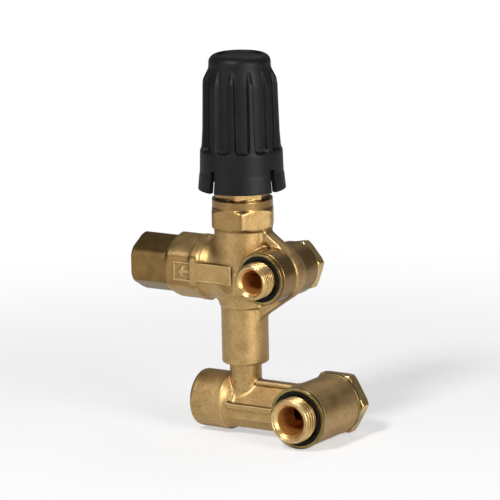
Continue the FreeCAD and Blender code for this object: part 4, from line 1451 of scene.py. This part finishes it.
def grain(tree: bpy.types.NodeTree, size: float, detail: float = 3.0,
          stretch: tuple[float, float, float] = (1, 1, 1)) -> bpy.types.NodeSocket:
    """A noise pattern on Object coordinates.

    Args:
        tree: The material's tree.
        size: Size of one grain in millimetres.
        detail: Octaves of finer noise.
        stretch: How many times finer it is along each axis.

    Returns:
        The pattern's value.
    """
    place = add(tree, "ShaderNodeTexCoord").outputs["Object"]
    if stretch != (1, 1, 1):
        place = add(tree, "ShaderNodeMapping", {"Vector": place, "Scale": stretch}).outputs[0]
    return add(tree, "ShaderNodeTexNoise", {"Vector": place, "Scale": 1000 / size, "Detail": detail,
                                            "Roughness": 0.55}).outputs[0]


def blended(tree: bpy.types.NodeTree, share: bpy.types.NodeSocket, low: str, high: str, start: float = 0.35,
            end: float = 0.65) -> bpy.types.NodeSocket:
    """A colour between two hex colours as a value goes from start to end.

    Args:
        tree: The material's tree.
        share: The value.
        low: The first colour.
        high: The second colour.
        start: The value at which the first colour ends.
        end: The value at which the second colour starts.

    Returns:
        The colour.
    """
    ramp = add(tree, "ShaderNodeValToRGB", {0: share})
    ramp.color_ramp.elements[0].position, ramp.color_ramp.elements[1].position = start, end
    ramp.color_ramp.elements[0].color, ramp.color_ramp.elements[1].color = srgb(low), srgb(high)
    return ramp.outputs[0]


@dataclass(frozen=True)
class Finish:
    """A material and the record's slot that it stands for."""

    slot: str
    material: bpy.types.Material


@dataclass(frozen=True)
class ForgedBrass:
    """Hot-forged, shot-blasted CW617N brass: a dull sandy skin, smoother where it was machined.

    Convex edges are painted lighter, partly as wear from handling and partly as a painted highlight; corners
    and hollows are painted darker as painted shade.
    """

    dark: str = "#A08252"
    light: str = "#BD9E6C"
    cut_dark: str = "#8C6F44"
    cut_light: str = "#987A4E"
    # worn edges: wear from handling, and also a painted highlight
    worn: str = "#E2C99A"
    # painted shade for corners, hollows and fillets
    corner_shade: str = "#64492A"
    grit: float = 0.85  # the real blast grain is about 0.3 mm, drawn coarser so that it shows
    blotch: float = 7.0
    rough: float = 0.43
    cut_rough: float = 0.3

    def make(self) -> Finish:
        """Makes the material.

        Returns:
            The finish.
        """
        made, tree, shader = start_material("forged_brass_shot_blasted", "forged_brass", 1.0, self.rough)
        cut = add(tree, "ShaderNodeAttribute", attribute_name="machined").outputs["Fac"]
        fine, broad = grain(tree, self.grit), grain(tree, self.blotch, 4.0)
        both = add(tree, "ShaderNodeMix", {0: 0.45, 2: fine, 3: broad}, data_type="FLOAT").outputs[0]
        skin_colour = blended(tree, both, self.dark, self.light, 0.38, 0.62)
        cut_colour = blended(tree, broad, self.cut_dark, self.cut_light, 0.35, 0.65)
        edge = add(tree, "ShaderNodeAttribute", attribute_name="edge").outputs["Fac"]
        # convex edges turn lighter: wear from handling and a painted highlight
        rubbed_and_highlit = add(tree, "ShaderNodeMapRange",
                     {"Value": edge, "From Min": 0.56, "From Max": 0.85, "To Min": 0.0,
                      "To Max": 0.8}).outputs[0]
        # hollows and fillets turn darker: painted shade
        hidden = add(tree, "ShaderNodeMapRange",
                     {"Value": edge, "From Min": 0.44, "From Max": 0.15, "To Min": 0.0,
                      "To Max": 0.85}).outputs[0]
        skin_colour = add(tree, "ShaderNodeMix", {0: rubbed_and_highlit, 6: skin_colour, 7: srgb(self.worn)},
                          data_type="RGBA").outputs[2]
        skin_colour = add(tree, "ShaderNodeMix", {0: hidden, 6: skin_colour, 7: srgb(self.corner_shade)},
                          data_type="RGBA").outputs[2]
        add_colour = add(tree, "ShaderNodeMix", {0: cut, 6: skin_colour, 7: cut_colour}, data_type="RGBA")
        tree.links.new(add_colour.outputs[2], shader.inputs["Base Color"])
        uneven = add(tree, "ShaderNodeMapRange",
                     {"Value": broad, "From Min": 0.3, "From Max": 0.7, "To Min": self.rough - 0.05,
                      "To Max": self.rough + 0.07})
        rough = add(tree, "ShaderNodeMix", {0: cut, 2: uneven.outputs[0], 3: self.cut_rough},
                    data_type="FLOAT").outputs[0]
        tree.links.new(rough, shader.inputs["Roughness"])
        strength = add(tree, "ShaderNodeMapRange",
                       {"Value": cut, "From Min": 0.0, "From Max": 1.0, "To Min": 0.85,
                        "To Max": 0.1}).outputs[0]
        bump = add(tree, "ShaderNodeBump", {"Strength": strength, "Distance": 0.00012, "Height": fine})
        tree.links.new(bump.outputs[0], shader.inputs["Normal"])
        return made


@dataclass(frozen=True)
class TurnedMetal:
    """Metal cut on a lathe: fine rings round its axis and a soft satin shine, with its bores painted a warmer,
    brighter colour as painted light bounced inside them.
    """

    name: str = "turned_brass"
    slot: str = "turned_brass"
    dark: str = "#BE9C62"
    light: str = "#DDBE88"
    # painted bounced light: the colour of the bores, warmer and brighter than the metal, for the light
    # reflected round inside them
    bore: str = "#C88C48"
    axis: Axis | None = Axis.Y
    ring: float = 0.5  # feed marks of about 0.1 mm, drawn coarser so that they show
    rough: float = 0.28
    depth: float = 0.00001

    def make(self) -> Finish:
        """Makes the material.

        Returns:
            The finish.
        """
        made, tree, shader = start_material(self.name, self.slot, 1.0, self.rough)
        stretch = tuple(1.0 if self.axis is not None
                        and self.axis.value == i else (1.0 if self.axis is None else 0.02) for i in range(3))
        rings = grain(tree, self.ring, 2.0, stretch)
        broad = grain(tree, 6.0, 3.0)
        # the marked bores get the painted bounced-light colour and less metal, so that they look brighter
        inside = add(tree, "ShaderNodeAttribute", attribute_name="machined").outputs["Fac"]
        colour = add(tree, "ShaderNodeMix", {0: inside, 6: blended(tree, broad, self.dark, self.light),
                                             7: srgb(self.bore)}, data_type="RGBA")
        tree.links.new(colour.outputs[2], shader.inputs["Base Color"])
        metal = add(tree, "ShaderNodeMapRange", {"Value": inside, "To Min": 1.0, "To Max": 0.5}).outputs[0]
        tree.links.new(metal, shader.inputs["Metallic"])
        rough = add(tree, "ShaderNodeMapRange",
                    {"Value": rings, "From Min": 0.3, "From Max": 0.7, "To Min": self.rough - 0.04,
                     "To Max": self.rough + 0.08})
        tree.links.new(rough.outputs[0], shader.inputs["Roughness"])
        bump = add(tree, "ShaderNodeBump", {"Strength": 0.3, "Distance": self.depth, "Height": rings})
        tree.links.new(bump.outputs[0], shader.inputs["Normal"])
        return made


@dataclass(frozen=True)
class Moulded:
    """A moulded plastic or rubber: fine texture from the mould and slightly uneven gloss."""

    name: str = "glass_filled_nylon_moulded"
    slot: str = "knob_plastic"
    dark: str = "#0A0A0B"
    light: str = "#101011"
    texture: float = 0.7  # the mould's texture is about 0.3 mm, drawn coarser so that it shows
    rough: float = 0.46
    bump: float = 0.35
    depth: float = 0.00008
    gloss: float = 0.2

    def make(self) -> Finish:
        """Makes the material.

        Returns:
            The finish.
        """
        made, tree, shader = start_material(self.name, self.slot, 0.0, self.rough)
        shader.inputs["Specular IOR Level"].default_value = self.gloss
        fine, broad = grain(tree, self.texture), grain(tree, 9.0)
        tree.links.new(blended(tree, broad, self.dark, self.light), shader.inputs["Base Color"])
        rough = add(tree, "ShaderNodeMapRange",
                    {"Value": fine, "From Min": 0.3, "From Max": 0.7, "To Min": self.rough - 0.06,
                     "To Max": self.rough + 0.08})
        tree.links.new(rough.outputs[0], shader.inputs["Roughness"])
        bump = add(tree, "ShaderNodeBump", {"Strength": self.bump, "Distance": self.depth, "Height": fine})
        tree.links.new(bump.outputs[0], shader.inputs["Normal"])
        return made


@dataclass(frozen=True)
class Finishes:
    """Every finish on the valve."""

    forged: Finish
    turned: Finish
    nut: Finish
    drawn: Finish
    plated: Finish
    rubber: Finish
    nylon: Finish
    seat: Finish
    stainless: Finish
    spring: Finish
    backup: Finish

    @classmethod
    def make(cls) -> "Finishes":
        """Makes every material.

        Returns:
            All the finishes.
        """
        return cls(
            forged=ForgedBrass().make(),
            # CW614N bar, turned: the banjo bolts
            turned=TurnedMetal("brass_turned_along_y").make(),
            # the same bar turned upright: the guide nut, in colours darker than the bolts' as painted shade
            # from the knob's skirt above it
            nut=TurnedMetal("brass_turned_upright_shaded", "machined_brass", "#96774A", "#B39362", axis=Axis.Z,
                            rough=0.3).make(),
            # drawn hexagon bar: duller flats with lengthwise drawing lines
            drawn=TurnedMetal("drawn_hexagon_brass", "machined_brass", "#765D36", "#876B41", axis=Axis.Y,
                              ring=0.9, rough=0.33).make(),
            # zinc-plated and yellow-passivated steel: pale straw with uneven tint
            plated=TurnedMetal("yellow_passivated_steel", "plated_seal_metal", "#75673F", "#978555",
                               axis=Axis.Y, ring=0.6, rough=0.28).make(),
            # nitrile rubber, vulcanised: near black and dull
            rubber=Moulded("nitrile_rubber_moulded", "seal_rubber", "#0B0C0B", "#121312", 0.5, 0.62, 0.2,
                           0.00004).make(),
            # glass-filled nylon, injection moulded: black with the fine texture of the mould
            nylon=Moulded().make(),
            # stainless steel, ground: bright grey
            seat=TurnedMetal("stainless_steel_ground", "stainless_steel", "#B4B6B8", "#CDCFD0", axis=Axis.Z,
                             ring=0.3, rough=0.2).make(),
            # stainless steel, turned: the same a little duller
            stainless=TurnedMetal("stainless_steel_turned", "stainless_steel", "#A9ABAE", "#C6C8CA",
                                  axis=Axis.Z, ring=0.5, rough=0.26).make(),
            # spring steel, drawn to wire: dark grey and oiled
            spring=TurnedMetal("spring_steel_wire_drawn", "spring_steel", "#7E8083", "#9A9C9F", axis=None,
                               ring=0.8, rough=0.36).make(),
            # sintered PTFE: milky white
            backup=Moulded("ptfe_machined", "backup_plastic", "#DAD8D0", "#ECEAE4", 0.6, 0.4, 0.15,
                           0.00002).make(),
        )


# Studio


@dataclass(frozen=True)
class Lamp:
    """A square softbox."""

    name: str
    place: tuple[float, float, float]
    size: float
    watts: float


@dataclass
class Studio:
    """The pale floor, the light and the camera."""

    azimuth: float = 32.606
    elevation: float = 12.373
    roll: float = -1.205
    away: float = 2092.053
    lens: float = 327.695
    shift: tuple[float, float] = (0.012276, 0.041302)
    floor: str = "#F6F6F6"
    near: float = 0.12  # metres from the middle, up to which the floor keeps its shadows best
    far: float = 0.42  # metres from the middle, from which it is plain white
    near_white: float = 0.52
    floor_mirrored: float = 0.2
    room_mirrored: float = 0.15
    room_strength: float = 0.14
    lamps: tuple[Lamp, ...] = (
        Lamp("key", (-0.1, -0.95, 1.15), 0.28, 15.0),
        Lamp("left", (-0.45, -1.1, 0.3), 0.6, 1.8),
        Lamp("right", (1.08, -0.4, 0.4), 0.6, 12.0),
        Lamp("back", (-0.1, 0.8, 1.2), 0.6, 2.0),
    )

    def build_floor(self) -> None:
        """Makes the floor, which shows near white to camera, mirrors and glass and still takes the shadow."""
        size, data = 8.0, bpy.data.meshes.new("floor")
        data.from_pydata([(-size, -size, 0), (size, -size, 0), (size, size, 0), (-size, size, 0)], [],
                         [(0, 1, 2, 3)])
        floor = bpy.data.objects.new("floor", data)
        bpy.context.scene.collection.objects.link(floor)
        material = bpy.data.materials.new("matt_white_paper")
        material.use_nodes = True
        tree = material.node_tree
        tree.nodes.clear()
        paper = add(tree, "ShaderNodeBsdfDiffuse", {"Color": srgb(self.floor)})
        white = add(tree, "ShaderNodeEmission", {"Color": (1, 1, 1, 1), "Strength": 1.0})
        path = add(tree, "ShaderNodeLightPath")
        mirrored = add(tree, "ShaderNodeMath", {0: path.outputs["Is Glossy Ray"], 1: self.floor_mirrored},
                       operation="MULTIPLY").outputs[0]
        seen = add(tree, "ShaderNodeMath", {0: path.outputs["Is Camera Ray"],
                                            1: path.outputs["Is Transmission Ray"]},
                   operation="MAXIMUM").outputs[0]
        seen = add(tree, "ShaderNodeMath", {0: seen, 1: mirrored}, operation="MAXIMUM").outputs[0]
        away = add(tree, "ShaderNodeVectorMath", {0: add(tree, "ShaderNodeTexCoord").outputs["Object"]},
                   operation="LENGTH").outputs["Value"]
        clean = add(tree, "ShaderNodeMapRange",
                    {"Value": away, "From Min": self.near, "From Max": self.far, "To Min": self.near_white,
                     "To Max": 1.0},
                    interpolation_type="SMOOTHSTEP").outputs[0]
        share = add(tree, "ShaderNodeMath", {0: seen, 1: clean}, operation="MULTIPLY").outputs[0]
        mixed = add(tree, "ShaderNodeMixShader", {0: share, 1: paper.outputs[0], 2: white.outputs[0]})
        add(tree, "ShaderNodeOutputMaterial", {"Surface": mixed.outputs[0]})
        data.materials.append(material)

    def build_light(self) -> None:
        """Makes the softboxes and the studio's soft surroundings."""
        middle = (0.0, 0.0, 0.08)
        for lamp in self.lamps:
            data = bpy.data.lights.new(lamp.name, "AREA")
            data.shape, data.size, data.energy = "SQUARE", lamp.size, lamp.watts
            made = bpy.data.objects.new(lamp.name, data)
            bpy.context.scene.collection.objects.link(made)
            made.location = lamp.place
            facing = Vector(middle) - Vector(lamp.place)
            made.rotation_euler = facing.to_track_quat("-Z", "Y").to_euler()
        world = bpy.data.worlds.new("studio")
        bpy.context.scene.world = world
        world.use_nodes = True
        tree = world.node_tree
        tree.nodes.clear()
        height = add(tree, "ShaderNodeSeparateXYZ",
                     {0: add(tree, "ShaderNodeTexCoord").outputs["Generated"]}).outputs["Z"]
        room = add(tree, "ShaderNodeValToRGB",
                   {0: add(tree, "ShaderNodeMapRange",
                           {"Value": height, "From Min": -1.0, "From Max": 1.0}).outputs[0]})
        room.color_ramp.elements[0].color = srgb("#F0F0F0")
        room.color_ramp.elements[1].color = srgb("#D8D8D8")
        low, high = room.color_ramp.elements.new(0.5), room.color_ramp.elements.new(0.72)
        low.color, high.color = srgb("#B8B8B8"), srgb("#8C8C8C")
        dim = add(tree, "ShaderNodeBackground", {"Color": room.outputs[0], "Strength": self.room_strength})
        white = add(tree, "ShaderNodeBackground", {"Color": (1, 1, 1, 1), "Strength": 1.0})
        path = add(tree, "ShaderNodeLightPath")
        glossy = add(tree, "ShaderNodeMath", {0: path.outputs["Is Glossy Ray"], 1: self.room_mirrored},
                     operation="MULTIPLY").outputs[0]
        seen = add(tree, "ShaderNodeMath", {0: path.outputs["Is Camera Ray"],
                                            1: path.outputs["Is Transmission Ray"]},
                   operation="MAXIMUM").outputs[0]
        seen = add(tree, "ShaderNodeMath", {0: seen, 1: glossy}, operation="MAXIMUM").outputs[0]
        mixed = add(tree, "ShaderNodeMixShader", {0: seen, 1: dim.outputs[0], 2: white.outputs[0]})
        add(tree, "ShaderNodeOutputWorld", {"Surface": mixed.outputs[0]})

    def build_camera(self) -> None:
        """Sets the camera where the photograph was taken from."""
        a, e, roll = (math.radians(v) for v in (self.azimuth, self.elevation, self.roll))
        right = np.array([math.cos(a), math.sin(a), 0.0])
        ahead = np.array([-math.sin(a) * math.cos(e), math.cos(a) * math.cos(e), -math.sin(e)])
        up = np.cross(right, ahead)
        turned_right = math.cos(roll) * right + math.sin(roll) * up
        turned_up = -math.sin(roll) * right + math.cos(roll) * up
        place = (-ahead * self.away - ORIGIN) / 1000
        data = bpy.data.cameras.new("camera")
        data.lens, data.sensor_width, data.sensor_fit = self.lens, 36, "AUTO"
        data.shift_x, data.shift_y = self.shift
        data.clip_start, data.clip_end = 0.05, 50
        camera = bpy.data.objects.new("camera", data)
        bpy.context.scene.collection.objects.link(camera)
        matrix = np.eye(4)
        matrix[:3, 0], matrix[:3, 1], matrix[:3, 2], matrix[:3, 3] = turned_right, turned_up, -ahead, place
        camera.matrix_world = Matrix(matrix.tolist())
        bpy.context.scene.camera = camera

    def build(self) -> None:
        """Makes the whole studio."""
        self.build_floor()
        self.build_light()
        self.build_camera()
        bpy.context.scene.view_settings.view_transform = "Standard"


# The valve


def dress_inner_parts(frame: dict[str, Any], finish: Finishes) -> None:
    """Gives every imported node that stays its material.

    Args:
        frame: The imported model.
        finish: The finishes to dress it in.
    """
    wear = {
        "knob_insert": finish.nut,
        "thrust_ball": finish.seat,
        "upper_spring_plate": finish.stainless,
        "pressure_spring": finish.spring,
        "lower_spring_plate": finish.stainless,
        "piston": finish.stainless,
        "piston_ring": finish.rubber,
        "piston_backup_ring": finish.backup,
        "bypass_seat": finish.seat,
        "bypass_seat_ring": finish.rubber,
        "check_poppet": finish.nut,
        "check_face_seal": finish.rubber,
        "check_spring": finish.spring,
        "outlet_ring": finish.rubber,
        "neck_ring_upper": finish.rubber,
        "neck_ring_lower": finish.rubber,
    }
    for node, worn in wear.items():
        made = frame["nodes"][node]
        made.data.materials.clear()
        made.data.materials.append(worn.material)
        log.info("%s keeps its packed shape", node)


def main() -> None:
    """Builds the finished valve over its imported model."""
    logging.basicConfig(level=logging.INFO, format="%(name)s: %(message)s")
    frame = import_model()
    Studio().build()
    finish = Finishes.make()
    tree, ids = thread_tree()
    ValveBody().build(finish)
    OutletAdapter().build(finish, tree, ids)
    GuideNut().build(finish)
    Knob().build(finish)
    upper = BanjoBolt(
        "upper_bolt", (18.4, 0.0, 0.8), radius=8.33, pitch=1.337, depth=0.856, across=22.0, head=5.5,
        head_turn=10.5, bore=5.25, cross=3.2, half=13.8, stick_out=8.2, seal_outer=11.9)
    upper.build(finish, tree, ids)
    upper.build_seals(finish, "body")
    Manifold().build(finish, tree, ids)
    lower = BanjoBolt(
        "lower_bolt", (37.6, 0.0, -62.0), radius=10.4775, pitch=1.814, depth=1.162, across=27.0, head=5.6,
        head_turn=0.0, bore=6.8, cross=4.0, half=14.7, stick_out=7.0, seal_outer=14.3)
    lower.build(finish, tree, ids)
    lower.build_seals(finish, "manifold")
    dress_inner_parts(frame, finish)


if __name__ == "__main__":
    main()
